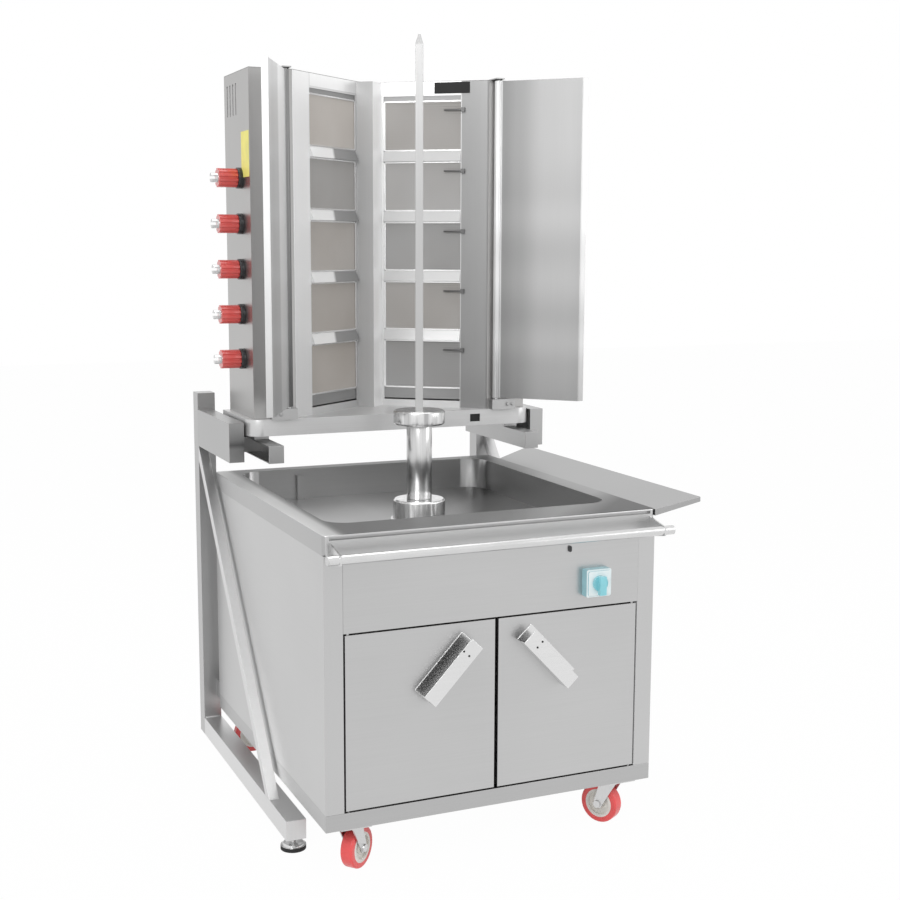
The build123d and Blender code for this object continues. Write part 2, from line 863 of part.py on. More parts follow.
# Slanted braces from the foot tubes to the posts, right under the arms
with BuildPart() as frame_braces:
    prism(
        [
            (brace_foot, foot_tube_top),
            (brace_foot + brace_run, foot_tube_top),
            (post_front, arm_low - brace_rise),
            (post_front, arm_low),
        ],
        sideways(-post_outer),
        brace_width,
    )
    prism(
        [
            (brace_foot + brace_wall_run, foot_tube_top),
            (brace_foot + brace_run - brace_wall_run, foot_tube_top),
            (post_front, arm_low - brace_rise + brace_wall_rise),
            (post_front, arm_low - brace_wall_rise),
        ],
        sideways(-post_outer + frame_wall),
        brace_width - 2 * frame_wall,
        mode=Mode.SUBTRACT,
    )
    mirror(about=Plane.YZ)

# Fixed arms: channels open towards the middle, closed at the front
with BuildPart() as slide_arms:
    block((-post_outer, -arm_inner), (arm_front, post_front), (arm_low, arm_high))
    block(
        (-post_outer + frame_wall, -arm_inner),
        (arm_front + frame_wall, post_front),
        (arm_low + frame_wall, arm_high - frame_wall),
        mode=Mode.SUBTRACT,
    )
    mirror(about=Plane.YZ)


def make_level_foot(side):
    """Levelling foot, with its stem screwed up into a foot tube."""
    x = side * foot_centre_x
    disc_top = foot_pad_height + foot_disc_height
    with BuildPart() as foot:
        rod((x, foot_centre_y, 0), foot_pad_radius, foot_pad_height)
        rod((x, foot_centre_y, foot_pad_height), foot_disc_radius, foot_disc_height)
        chamfer(foot.faces().sort_by(Axis.Z)[-1].edges(), foot_disc_height / 2)
        stem_top = frame_ground_gap + tube_size / 2
        rod((x, foot_centre_y, disc_top), foot_stem_radius, stem_top - disc_top)
        nut_top = frame_ground_gap - turning_gap
        rod((x, foot_centre_y, nut_top - foot_nut_height), foot_nut_radius, foot_nut_height)
    return foot.part


level_foot_left = make_level_foot(-1)
level_foot_right = make_level_foot(1)

# Sliding beams under the heater deck: channels open outwards, with runner blocks inside the arms
beam_front = deck_front - beam_nose
beam_back = deck_back + beam_tail
beam_under_front = deck_front + deck_corner
beam_under_back = deck_back - sheet
beam_high = beam_low + beam_nose_height
with BuildPart() as slide_beams:
    block((-beam_outer, -beam_inner), (beam_front, beam_back), (beam_low, beam_high))
    block(
        (-beam_outer, -beam_inner),
        (beam_under_front, beam_under_back),
        (beam_high, deck_top - sheet),
    )
    block(
        (-beam_outer, -beam_inner - frame_wall),
        (beam_front + frame_wall, beam_back - frame_wall),
        (beam_low + frame_wall, beam_high - frame_wall),
        mode=Mode.SUBTRACT,
    )
    for runner in range(2):
        runner_y = deck_front + runner_front + runner * runner_pitch
        block(
            (-arm_inner, -beam_inner),
            (runner_y, runner_y + runner_length),
            (beam_low + frame_wall, beam_high),
        )
        block(
            (-post_outer + frame_wall + slide_gap, -arm_inner),
            (runner_y, runner_y + runner_length),
            (arm_low + frame_wall + slide_gap, arm_high - frame_wall - slide_gap),
        )
    mirror(about=Plane.YZ)

# Deck that carries the heater: an inverted pan with rounded front corners
with BuildPart() as heater_deck:
    deck_middle = (deck_front + deck_back) / 2
    with BuildSketch(Plane.XY.offset(deck_low)):
        with Locations((0, deck_middle)):
            Rectangle(2 * deck_half, deck_back - deck_front)
    extrude(amount=deck_skirt)
    fillet(heater_deck.edges().filter_by(Axis.Z).group_by(Axis.Y)[0], deck_corner)
    offset_half = deck_half - sheet
    with BuildSketch(Plane.XY.offset(deck_low)) as deck_hollow:
        with Locations((0, deck_middle)):
            Rectangle(2 * offset_half, deck_back - deck_front - 2 * sheet)
        fillet(deck_hollow.vertices().group_by(Axis.Y)[0], deck_corner - sheet)
    extrude(amount=deck_skirt - sheet, mode=Mode.SUBTRACT)
    slot_low = deck_low + (deck_skirt - deck_slot_height) / 2
    block(
        (deck_slot_from_centre - deck_slot_width / 2, deck_slot_from_centre + deck_slot_width / 2),
        (deck_front - sheet, deck_front + 2 * sheet),
        (slot_low, slot_low + deck_slot_height),
        mode=Mode.SUBTRACT,
    )

# Heater casing: sides, back and front returns folded from one sheet
shell_high = heater_top_z - sheet
with BuildPart() as heater_shell:
    with BuildSketch(Plane.XY.offset(deck_top)):
        middle = (casing_front + casing_back) / 2
        with Locations((0, middle)):
            Rectangle(2 * casing_half, casing_depth)
            Rectangle(2 * casing_half - 2 * sheet, casing_depth - 2 * sheet, mode=Mode.SUBTRACT)
        with Locations((0, casing_front)):
            Rectangle(2 * wing_x, 4 * sheet, mode=Mode.SUBTRACT)
    extrude(amount=shell_high - deck_top)
    for row in range(burner_rows):
        rod(
            (-casing_half - sheet, tap_y, tap_height(row)),
            tap_hole_radius,
            4 * sheet,
            "X",
            mode=Mode.SUBTRACT,
        )
    for slot in range(casing_slots):
        slot_y = casing_back - casing_slot_pitch - slot * casing_slot_pitch
        for side in (-1, 1):
            block(
                (side * casing_half - 2 * sheet, side * casing_half + 2 * sheet),
                (slot_y - casing_slot_width, slot_y),
                (shell_high - casing_slot_height - casing_slot_pitch, shell_high - casing_slot_pitch),
                mode=Mode.SUBTRACT,
            )
    rod(
        (manifold_x, casing_back - 2 * sheet, deck_top + gas_inlet_above_deck),
        gas_inlet_radius + slide_gap,
        4 * sheet,
        "Y",
        mode=Mode.SUBTRACT,
    )

with BuildPart() as heater_top:
    prism(
        [
            (-casing_half, casing_back),
            (-casing_half, casing_front),
            (-wing_x, casing_front),
            (-centre_half_width, centre_y),
            (centre_half_width, centre_y),
            (wing_x, casing_front),
            (casing_half, casing_front),
            (casing_half, casing_back),
        ],
        Plane.XY.offset(shell_high),
        sheet,
    )
    for slot in range(top_slots):
        slot_x = (slot - (top_slots - 1) / 2) * top_slot_pitch
        slot_y = casing_back - top_slot_from_back
        block(
            (slot_x - top_slot_width / 2, slot_x + top_slot_width / 2),
            (slot_y - top_slot_length, slot_y),
            (shell_high - sheet, heater_top_z + sheet),
            mode=Mode.SUBTRACT,
        )

# Burner face panels with windows, air slots and sloping shields between the rows
burner_near = burner_from_centre
burner_far = burner_from_centre + burner_width
facet_end = facet_length - sheet * facet_depth / (wing_x - centre_half_width)
window_cut = (-sheet, 2 * sheet)
header_low = heater_top_z - header_slot_below_top
base_low = deck_top + base_slot_above_deck
shield_start = facet.from_local_coords((burner_near, 0, 0))
shield_plane = Plane(origin=shield_start, x_dir=facet.z_dir, z_dir=facet.x_dir)
with BuildPart() as burner_frames:
    facet_panel((0, facet_end), (deck_top, shell_high), (0, sheet))
    windows = [(row_low(row), row_low(row) + burner_height) for row in range(burner_rows)]
    windows.append((header_low, header_low + header_slot_height))
    windows.append((base_low, base_low + base_slot_height))
    for window in windows:
        facet_panel((burner_near, burner_far), window, window_cut, Mode.SUBTRACT)
    for row in range(1, burner_rows):
        shield_mid = row_low(row) - (burner_pitch - burner_height) / 2
        shield_outline = [
            (0, -shield_mid - shield_height / 2),
            (0, -shield_mid + shield_height / 2),
            (shield_depth, -shield_mid + shield_height / 2),
        ]
        prism(shield_outline, shield_plane, burner_width)
    block(
        (wing_x - 2 * sheet, wing_x + casing_tab),
        (casing_front + sheet, casing_front + 2 * sheet),
        (deck_top, shell_high),
    )
    mirror(about=Plane.YZ)

# Cover over the middle of the burner face, folded to a ridge and closed at the top
post_reach = centre_half_width + centre_post_overlap
post_meet = centre_y - centre_post_overlap * facet_depth / (wing_x - centre_half_width)
ridge_y = centre_y - centre_post_stand
ridge_slope = math.atan2(post_meet - ridge_y, post_reach)
ridge_inner = post_reach - sheet / math.sin(ridge_slope)
with BuildPart() as centre_post:
    prism(
        [
            (-post_reach, post_meet),
            (0, ridge_y),
            (post_reach, post_meet),
            (centre_half_width, centre_y),
            (-centre_half_width, centre_y),
        ],
        Plane.XY.offset(deck_top),
        shell_high - deck_top,
    )
    prism(
        [
            (-ridge_inner, post_meet),
            (0, ridge_y + sheet / math.cos(ridge_slope)),
            (ridge_inner, post_meet),
            (ridge_inner, centre_y + sheet),
            (-ridge_inner, centre_y + sheet),
        ],
        Plane.XY.offset(deck_top),
        shell_high - sheet - deck_top,
        mode=Mode.SUBTRACT,
    )

# Burner boxes behind the windows, each holding a ceramic plaque
with BuildPart() as burner_boxes:
    for row in range(burner_rows):
        low = row_low(row)
        wall = burner_box_wall
        facet_panel(
            (burner_near - wall, burner_far + wall),
            (low - wall, low + burner_height + wall),
            (sheet, sheet + burner_box_depth),
        )
        facet_panel(
            (burner_near, burner_far),
            (low, low + burner_height),
            (sheet, sheet + burner_box_depth - wall),
            Mode.SUBTRACT,
        )
    mirror(about=Plane.YZ)

with BuildPart() as burner_plaques:
    for row in range(burner_rows):
        low = row_low(row)
        facet_panel(
            (burner_near, burner_far), (low, low + burner_height), (sheet, sheet + plaque_thickness)
        )
    mirror(about=Plane.YZ)

# Igniter rods reaching over the plaques of the right column
with BuildPart() as igniter_rods:
    for row in range(burner_rows):
        rod_z = row_low(row) + burner_height - igniter_below_row_top
        facet_panel(
            (burner_far + igniter_radius, burner_far + igniter_foot),
            (rod_z - igniter_foot / 2, rod_z + igniter_foot / 2),
            (-igniter_stand - igniter_radius, 0),
        )
        start = facet.from_local_coords((burner_far + igniter_foot / 2, rod_z, igniter_stand))
        with Locations(Plane(origin=start, z_dir=-facet.x_dir).location):
            Cylinder(igniter_radius, igniter_length, align=(Align.CENTER, Align.CENTER, Align.MIN))

# Gas manifold with tap stubs and spindles, row branches and the inlet stub at the back
with BuildPart() as gas_pipes:
    inlet_z = deck_top + gas_inlet_above_deck
    manifold_low = inlet_z - manifold_overrun
    manifold_high = tap_height(burner_rows - 1) + manifold_overrun
    rod((manifold_x, tap_y, manifold_low), manifold_radius, manifold_high - manifold_low)
    inlet_end = casing_back + gas_inlet_reach
    rod((manifold_x, tap_y, inlet_z), gas_inlet_radius, inlet_end - tap_y, "Y")
    union_start = inlet_end - gas_union_length
    rod((manifold_x, union_start, inlet_z), gas_union_radius, gas_union_length, "Y")
    stub_start = -casing_half + sheet
    spindle_end = -casing_half - tap_bezel_depth - turning_gap - tap_engagement
    branch_y = casing_back - branch_from_back
    for row in range(burner_rows):
        z = tap_height(row)
        rod((stub_start, tap_y, z), stub_radius, manifold_x - stub_start, "X")
        rod((spindle_end, tap_y, z), spindle_radius, stub_start - spindle_end, "X")
        rod((manifold_x, tap_y, z), branch_radius, branch_y - tap_y, "Y")
        block(
            (manifold_x - branch_radius, wing_x),
            (branch_y - branch_radius, branch_y + branch_radius),
            (z - branch_radius, z + branch_radius),
        )

with BuildPart() as tap_bezels:
    for row in range(burner_rows):
        start = (-casing_half - tap_bezel_depth, tap_y, tap_height(row))
        rod(start, tap_bezel_radius, tap_bezel_depth, "X")
        rod(start, tap_hole_radius, tap_bezel_depth, "X", mode=Mode.SUBTRACT)

knob_face = -casing_half - tap_bezel_depth - turning_gap


def make_tap_knob(row):
    """Ribbed gas tap knob with a slotted tip, running on its spindle."""
    z = tap_height(row)
    with BuildPart() as knob:
        rod((knob_face - tap_knob_length, tap_y, z), tap_knob_radius, tap_knob_length, "X")
        with Locations(Location((knob_face - tap_knob_length, tap_y, z), (0, 90, 0))):
            with PolarLocations(tap_knob_radius, tap_ribs):
                Cylinder(
                    tap_rib_radius,
                    tap_knob_length,
                    align=(Align.CENTER, Align.CENTER, Align.MIN),
                    mode=Mode.SUBTRACT,
                )
        rod(
            (knob_face - tap_knob_length - tap_tip_length, tap_y, z),
            tap_tip_radius,
            tap_tip_length,
            "X",
        )
        block(
            (knob_face - tap_knob_length - tap_tip_length, knob_face - tap_knob_length - sheet),
            (tap_y - tap_tip_radius, tap_y + tap_tip_radius),
            (z - tap_tip_slot / 2, z + tap_tip_slot / 2),
            mode=Mode.SUBTRACT,
        )
        rod(
            (knob_face - tap_engagement - turning_gap, tap_y, z),
            spindle_radius + running_fit,
            tap_engagement + turning_gap,
            "X",
            mode=Mode.SUBTRACT,
        )
    return knob.part


tap_knobs = {"tap_knob_" + str(row + 1): make_tap_knob(row) for row in range(burner_rows)}

# Plain badge at the top of the right burner face
with BuildPart() as badge_plate:
    badge_high = shell_high - badge_below_top
    facet_panel(
        (badge_from_centre, badge_from_centre + badge_width),
        (badge_high - badge_height, badge_high),
        (-badge_thickness, 0),
    )

# Wind door hinges: a block with a pin below, a strap with a pin above
with BuildPart() as wind_hinges:
    block(
        (hinge_x - hinge_block_overlap, hinge_x - hinge_block_overlap + hinge_block_width),
        (casing_front - hinge_block_depth, casing_front),
        (deck_top, deck_top + hinge_block_height),
    )
    rod(
        (hinge_x, hinge_y, deck_top + hinge_block_height),
        wind_pin_radius,
        wind_door_gap + wind_pin_length,
    )
    block(
        (hinge_x - hinge_strap_width / 2, hinge_x + hinge_strap_width / 2),
        (casing_front - hinge_block_depth, casing_front + hinge_block_depth),
        (heater_top_z, heater_top_z + hinge_strap_thickness),
    )
    rod(
        (hinge_x, hinge_y, heater_top_z - wind_door_gap - wind_pin_length),
        wind_pin_radius,
        wind_door_gap + wind_pin_length,
    )
    mirror(about=Plane.YZ)


def make_wind_door(side):
    """Wind door drawn from its hinge axis along +X, its end flange turned to one side."""
    with BuildPart() as door:
        rod((0, 0, wind_low), wind_sleeve_radius, wind_high - wind_low)
        block((0, wind_door_length), (-sheet / 2, sheet / 2), (wind_low, wind_high))
        bend = math.radians(wind_door_bend)
        along = (math.cos(bend), side * math.sin(bend))
        normal = (-along[1], along[0])
        corner = (wind_door_length - sheet / 2, 0)
        outline = []
        for step, offset in ((0, -1), (1, -1), (1, 1), (0, 1)):
            reach = step * wind_door_flange
            outline.append(
                (
                    corner[0] + reach * along[0] + offset * normal[0] * sheet / 2,
                    corner[1] + reach * along[1] + offset * normal[1] * sheet / 2,
                )
            )
        prism(outline, Plane.XY.offset(wind_low), wind_high - wind_low)
        rod(
            (0, 0, wind_low),
            wind_pin_radius + running_fit,
            wind_high - wind_low,
            mode=Mode.SUBTRACT,
        )
    return door.part


wind_door_left = Location((-hinge_x, hinge_y, 0), (0, 0, wind_door_left_angle)) * make_wind_door(-1)
wind_door_right = Location((hinge_x, hinge_y, 0), (0, 0, wind_door_right_angle)) * make_wind_door(1)

# All pieces by name
pieces = {
    "floor_pan": floor_pan.part,
    "cabinet_shell": cabinet_shell.part,
    "control_fascia": control_fascia.part,
    "basin_top": basin_top.part,
    "side_shelf": side_shelf.part,
    "front_rail": front_rail.part,
    "door_left": door_left.part,
    "door_right": door_right.part,
    "door_pins": door_pins.part,
    "door_handle_left": door_handle_left.part,
    "door_handle_right": door_handle_right.part,
    "switch_box": switch_box.part,
    "switch_knob": switch_knob.part,
    "indicator_lamp": indicator_lamp.part,
    "gearmotor": gearmotor.part,
    "shaft_housing": shaft_housing.part,
    "drive_shaft": drive_shaft.part,
    "spit_tube": spit_tube.part,
    "spit_flange": spit_flange.part,
    "spit_bar": spit_bar.part,
    "castor_plates": castor_plates.part,
    "frame_posts": frame_posts.part,
    "frame_cross_tubes": frame_cross_tubes.part,
    "frame_foot_tubes": frame_foot_tubes.part,
    "frame_braces": frame_braces.part,
    "slide_arms": slide_arms.part,
    "level_foot_left": level_foot_left,
    "level_foot_right": level_foot_right,
    "slide_beams": slide_beams.part,
    "heater_deck": heater_deck.part,
    "heater_shell": heater_shell.part,
    "heater_top": heater_top.part,
    "burner_frames": burner_frames.part,
    "centre_post": centre_post.part,
    "burner_boxes": burner_boxes.part,
    "burner_plaques": burner_plaques.part,
    "igniter_rods": igniter_rods.part,
    "gas_pipes": gas_pipes.part,
    "tap_bezels": tap_bezels.part,
    "badge_plate": badge_plate.part,
    "wind_hinges": wind_hinges.part,
    "wind_door_left": wind_door_left,
    "wind_door_right": wind_door_right,
}
pieces.update(castor_pieces)
pieces.update(tap_knobs)

# Move every piece so that the origin is the bottom centre of the whole grill
whole = Compound(children=[piece.moved(Location()) for piece in pieces.values()]).bounding_box()
home = Location((-whole.center().X, -whole.center().Y, -whole.min.Z))
os.makedirs("parts", exist_ok=True)
for name, piece in pieces.items():
    placed = piece.moved(home)
    placed.label = name
    export_step(placed, "parts/" + name + ".step")
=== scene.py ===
import math
import random

import bmesh
import bpy
from mathutils import Matrix, Vector


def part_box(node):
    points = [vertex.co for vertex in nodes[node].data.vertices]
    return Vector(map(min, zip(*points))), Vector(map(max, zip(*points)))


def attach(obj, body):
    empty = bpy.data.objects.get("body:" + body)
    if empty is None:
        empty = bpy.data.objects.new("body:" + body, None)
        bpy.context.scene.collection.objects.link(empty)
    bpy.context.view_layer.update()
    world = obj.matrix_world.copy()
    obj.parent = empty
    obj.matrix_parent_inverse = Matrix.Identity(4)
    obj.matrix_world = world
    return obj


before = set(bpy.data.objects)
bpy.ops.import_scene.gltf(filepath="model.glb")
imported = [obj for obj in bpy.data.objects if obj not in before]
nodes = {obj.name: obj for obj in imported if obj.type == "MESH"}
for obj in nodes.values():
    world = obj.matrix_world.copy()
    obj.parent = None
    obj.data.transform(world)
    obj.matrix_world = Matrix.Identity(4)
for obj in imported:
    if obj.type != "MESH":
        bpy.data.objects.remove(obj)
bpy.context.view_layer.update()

random.seed(7)

# Directions and sides
rightwards = (1, 0, 0)
backwards = (0, 1, 0)
upwards = (0, 0, 1)
even = (1, 1, 1)
sides = (-1, 1)
side_names = {-1: "left", 1: "right"}

# Places read from the frame, in metres
spit_low, spit_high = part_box("spit_tube")
spit_x = (spit_low.x + spit_high.x) / 2
spit_y = (spit_low.y + spit_high.y) / 2
plaque_low, plaque_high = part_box("burner_plaques")
frames_low, frames_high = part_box("burner_frames")
shell_low, shell_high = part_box("heater_shell")
deck_low, deck_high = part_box("heater_deck")
hinges_low, hinges_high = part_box("wind_hinges")
basin_low, basin_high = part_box("basin_top")
cabinet_low, cabinet_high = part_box("cabinet_shell")

# Burner face: middle, folded outer edges, windows, header and the turn of each side
middle_half = 0.034
face_depth = 0.367
face_half = 0.305
face_fold = 0.025
face_back = frames_high.y - spit_y
wing_reach = spit_x - frames_low.x - face_fold
facet_turn = math.atan2(face_back - (frames_low.y - spit_y), wing_reach - middle_half)
window_near = 0.010
window_far = 0.230
window_reach = middle_half + window_far * math.cos(facet_turn)
rows = 5
row_height = 0.127
row_pitch = (plaque_high.z - plaque_low.z - row_height) / (rows - 1)
header_height = 0.034
header_z = frames_high.z - header_height

# Wind doors: hinge places and the way that each door points at rest
hinge_reach = 0.300
hinge_depth = 0.165
leaf_hinge = {side: Vector((spit_x + side * hinge_reach, spit_y + hinge_depth, 0)) for side in sides}
leaf_angle = {-1: math.radians(243.0), 1: math.radians(-45.8)}

# Camera fitted to the photograph: place relative to the spit's axis, heading, tilt, roll and lens
camera_from_spit = Vector((-1.3722, -3.3246, 1.444))
camera_heading = math.radians(23.71)
camera_tilt = math.radians(8.372)
camera_roll = math.radians(0.21)
camera_lens = 55.63
camera_reach = 60.0
sensor_width = 36.0

# Layout of shader nodes in rows
node_column = 260
node_row = 300
nodes_in_row = 8

# Grain of brushed steel: fine across its direction, long along it
grain_fine = 300
grain_long = 4
grain_stretch = {
    "X": (grain_long, grain_fine, grain_fine),
    "Y": (grain_fine, grain_long, grain_fine),
    "Z": (grain_fine, grain_fine, grain_long),
}
# Stretch that turns smears into painted reflection bands along a tube's axis
reflection_band_stretch = (60, 60, 1.5)


def add_node(tree, kind, values=None, **attributes):
    """New shader node, laid out in rows, with its attributes and its inputs' values set by name."""
    row, column = divmod(len(tree.nodes), nodes_in_row)
    made = tree.nodes.new(kind)
    made.location = (node_column * column, -node_row * row)
    for name, value in attributes.items():
        setattr(made, name, value)
    for name, value in (values or {}).items():
        made.inputs[name].default_value = value
    return made


def grey(value):
    """Neutral colour."""
    return (value, value, value)


def tone(level, warmth=0.0):
    """Neutral colour that shows as a level from 0 to 255 under full light, warmer or cooler."""
    value = ((level / 255 + 0.055) / 1.055) ** 2.4
    return (value * (1 + warmth), value, value * (1 - warmth))


def shade(colour, factor):
    """Colour made lighter or darker."""
    return tuple(min(1.0, c * factor) for c in colour)


def start_material(name):
    """Empty material with its output and main shader."""
    made = bpy.data.materials.new(name)
    made.use_nodes = True
    tree = made.node_tree
    tree.nodes.clear()
    output = add_node(tree, "ShaderNodeOutputMaterial")
    shader = add_node(tree, "ShaderNodeBsdfPrincipled")
    tree.links.new(shader.outputs[0], output.inputs[0])
    return made, tree, shader


def ramp(tree, source, stops, interpolation="LINEAR"):
    """Colour over a value, from (position, colour) stops."""
    made = add_node(tree, "ShaderNodeValToRGB")
    made.color_ramp.interpolation = interpolation
    elements = made.color_ramp.elements
    while len(elements) < len(stops):
        elements.new(0.5)
    for element, (position, colour) in zip(elements, stops):
        element.position = position
        element.color = (*colour, 1.0)
    tree.links.new(source, made.inputs["Fac"])
    return made.outputs["Color"]


def map_range(tree, source, span, result):
    """Value of a span mapped onto the range of the result."""
    made = add_node(tree, "ShaderNodeMapRange", {
        "From Min": span[0], "From Max": span[1], "To Min": result[0], "To Max": result[1]})
    tree.links.new(source, made.inputs["Value"])
    return made.outputs["Result"]


def noise(tree, scale, stretch=even, detail=3.0):
    """Noise in object space, stretched along chosen axes."""
    coordinates = add_node(tree, "ShaderNodeTexCoord")
    mapping = add_node(tree, "ShaderNodeMapping", {"Scale": stretch})
    made = add_node(tree, "ShaderNodeTexNoise", {"Scale": scale, "Detail": detail})
    tree.links.new(coordinates.outputs["Object"], mapping.inputs["Vector"])
    tree.links.new(mapping.outputs["Vector"], made.inputs["Vector"])
    return made.outputs["Fac"]


def reach_along(tree, origin, direction):
    """Distance of the surface point from an origin along a direction, in object space."""
    coordinates = add_node(tree, "ShaderNodeTexCoord")
    offset = add_node(tree, "ShaderNodeVectorMath", {1: origin}, operation="SUBTRACT")
    along = add_node(tree, "ShaderNodeVectorMath", {1: direction}, operation="DOT_PRODUCT")
    tree.links.new(coordinates.outputs["Object"], offset.inputs[0])
    tree.links.new(offset.outputs["Vector"], along.inputs[0])
    return along.outputs["Value"]


def grading(tree, origin, direction, stops, interpolation="LINEAR"):
    """Colour that changes along a direction; stops are (distance in metres, colour)."""
    low, high = stops[0][0], stops[-1][0]
    share = map_range(tree, reach_along(tree, origin, direction), (low, high), (0.0, 1.0))
    scaled = [((distance - low) / (high - low), colour) for distance, colour in stops]
    return ramp(tree, share, scaled, interpolation)


def multiply(tree, first, second):
    """Product of two colours."""
    mix = add_node(tree, "ShaderNodeMix", {"Factor": 1.0}, data_type="RGBA", blend_type="MULTIPLY")
    tree.links.new(first, mix.inputs["A"])
    tree.links.new(second, mix.inputs["B"])
    return mix.outputs["Result"]


def add_bump(tree, shader, height, strength, distance):
    """Bump from a height output into the shader's normal."""
    bump = add_node(tree, "ShaderNodeBump", {"Strength": strength, "Distance": distance})
    tree.links.new(height, bump.inputs["Height"])
    tree.links.new(bump.outputs["Normal"], shader.inputs["Normal"])


def add_gloss(tree, shader, source, low, high):
    """Roughness that varies between two values with a source."""
    tree.links.new(map_range(tree, source, (0.0, 1.0), (low, high)), shader.inputs["Roughness"])


def steel_nodes(tree, shader, colour, grain, rough, spread, cloud, streak):
    """Grain along one axis, soft wiped clouds and slightly uneven gloss over a colour output."""
    fine = noise(tree, 1.0, grain_stretch[grain])
    wide = noise(tree, 2.6, detail=2.0)
    soft = ramp(tree, wide, [(0.25, grey(1 - cloud)), (0.75, grey(1.0))])
    lines = ramp(tree, fine, [(0.3, grey(1 - streak)), (0.7, grey(1.0))])
    worn = multiply(tree, colour, soft)
    tree.links.new(multiply(tree, worn, lines), shader.inputs["Base Color"])
    add_gloss(tree, shader, fine, rough - spread / 2, rough + spread / 2)
    add_bump(tree, shader, fine, strength=0.05, distance=0.0003)


def brushed(name, colour, grain="X", rough=0.34, spread=0.06, cloud=0.05, streak=0.03, metal=1.0):
    """Brushed stainless of one colour, with a slight drift."""
    made, tree, shader = start_material(name)
    drift = noise(tree, 0.9, detail=1.0)
    tint = ramp(tree, drift, [(0.3, shade(colour, 0.985)), (0.7, shade(colour, 1.015))])
    steel_nodes(tree, shader, tint, grain, rough, spread, cloud, streak)
    shader.inputs["Metallic"].default_value = metal
    return made


def graded(name, layers, grain="Z", rough=0.34, spread=0.06, cloud=0.03, streak=0.02, metal=1.0, shine=0.5):
    """Brushed sheet with painted light and shade, whose tone changes along given directions; layers
    multiply.
    """
    made, tree, shader = start_material(name)
    result = None
    for layer in layers:
        colour = grading(tree, *layer)
        result = colour if result is None else multiply(tree, result, colour)
    steel_nodes(tree, shader, result, grain, rough, spread, cloud, streak)
    shader.inputs["Metallic"].default_value = metal
    shader.inputs["Specular IOR Level"].default_value = shine
    return made


def polished(name, colour, rough=0.12, stretch=(1, 1, 3), scale=9.0, dark=0.95):
    """Polished metal with faint smears, as dark as the given share of its colour; stretched thin across an
    axis, the smears become painted reflection bands along it.
    """
    made, tree, shader = start_material(name)
    smear = noise(tree, scale, stretch)
    tint = ramp(tree, smear, [(0.36, shade(colour, dark)), (0.62, colour)])
    tree.links.new(tint, shader.inputs["Base Color"])
    add_gloss(tree, shader, smear, rough * 0.8, rough * 1.3)
    shader.inputs["Metallic"].default_value = 1.0
    return made


def moulded(name, colour, rough=0.35, grain_size=420.0, bump=0.10, coat=0.0):
    """Moulded plastic or rubber: fine grain, slight colour drift and scuffs."""
    made, tree, shader = start_material(name)
    fine = noise(tree, grain_size, detail=2.0)
    wide = noise(tree, 22.0)
    tint = ramp(tree, wide, [(0.3, shade(colour, 0.90)), (0.7, shade(colour, 1.05))])
    tree.links.new(tint, shader.inputs["Base Color"])
    add_gloss(tree, shader, wide, rough * 0.85, min(1.0, rough * 1.25))
    add_bump(tree, shader, fine, bump, distance=0.0006)
    shader.inputs["Coat Weight"].default_value = coat
    return made


# Radiant ceramic: holes to a metre, their offset from the frame's origin, and the roughness
hole_density = 150.0
hole_offset = (0, 0.0031, 0)
ceramic_rough = 0.82


def ceramic(name, side, row_colours):
    """Radiant burner ceramic: one tint per row, fine perforations, uneven heat marks."""
    made, tree, shader = start_material(name)
    bottom = plaque_low.z - (row_pitch - row_height) / 2
    stops = [(step * row_pitch, colour) for step, colour in enumerate(row_colours)]
    stops.append((rows * row_pitch, row_colours[-1]))
    base = grading(tree, (0, 0, bottom), upwards, stops, "CONSTANT")
    coordinates = add_node(tree, "ShaderNodeTexCoord")
    mapping = add_node(tree, "ShaderNodeMapping", {
        "Rotation": (0, 0, side * facet_turn), "Location": hole_offset})
    cells = add_node(tree, "ShaderNodeTexVoronoi", {"Scale": hole_density, "Randomness": 0.0})
    tree.links.new(coordinates.outputs["Object"], mapping.inputs["Vector"])
    tree.links.new(mapping.outputs["Vector"], cells.inputs["Vector"])
    holes = ramp(tree, cells.outputs["Distance"], [(0.22, grey(0.62)), (0.34, grey(1.0))])
    shown = ramp(tree, noise(tree, 4.2, detail=1.0), [(0.44, grey(0.18)), (0.58, grey(0.9))])
    pattern = add_node(tree, "ShaderNodeMix", {"A": (*grey(1), 1)}, data_type="RGBA")
    tree.links.new(shown, pattern.inputs["Factor"])
    tree.links.new(holes, pattern.inputs["B"])
    heat = ramp(tree, noise(tree, 5.0), [(0.3, (0.90, 0.885, 0.87)), (0.7, grey(1.0))])
    marked = multiply(tree, base, heat)
    final = multiply(tree, marked, pattern.outputs["Result"])
    tree.links.new(final, shader.inputs["Base Color"])
    add_bump(tree, shader, cells.outputs["Distance"], strength=0.2, distance=0.0006)
    shader.inputs["Roughness"].default_value = ceramic_rough
    return made


def kiln(level, warmth=0.0):
    """Ceramic colour that shows as a level in the half shade of the burner boxes."""
    return shade(tone(level, warmth), 1.30)


def painted_leaf_material(side, stops, heights, metal):
    """Wind door sheet with painted light and shade: tone along the door from its hinge, and up its height.
    """
    direction = (math.cos(leaf_angle[side]), math.sin(leaf_angle[side]), 0)
    along = (tuple(leaf_hinge[side]), direction, stops, "EASE")
    height = ((0, 0, deck_high.z), upwards, heights, "EASE")
    return graded("leaf_painted_light_" + side_names[side], [along, height], metal=metal)


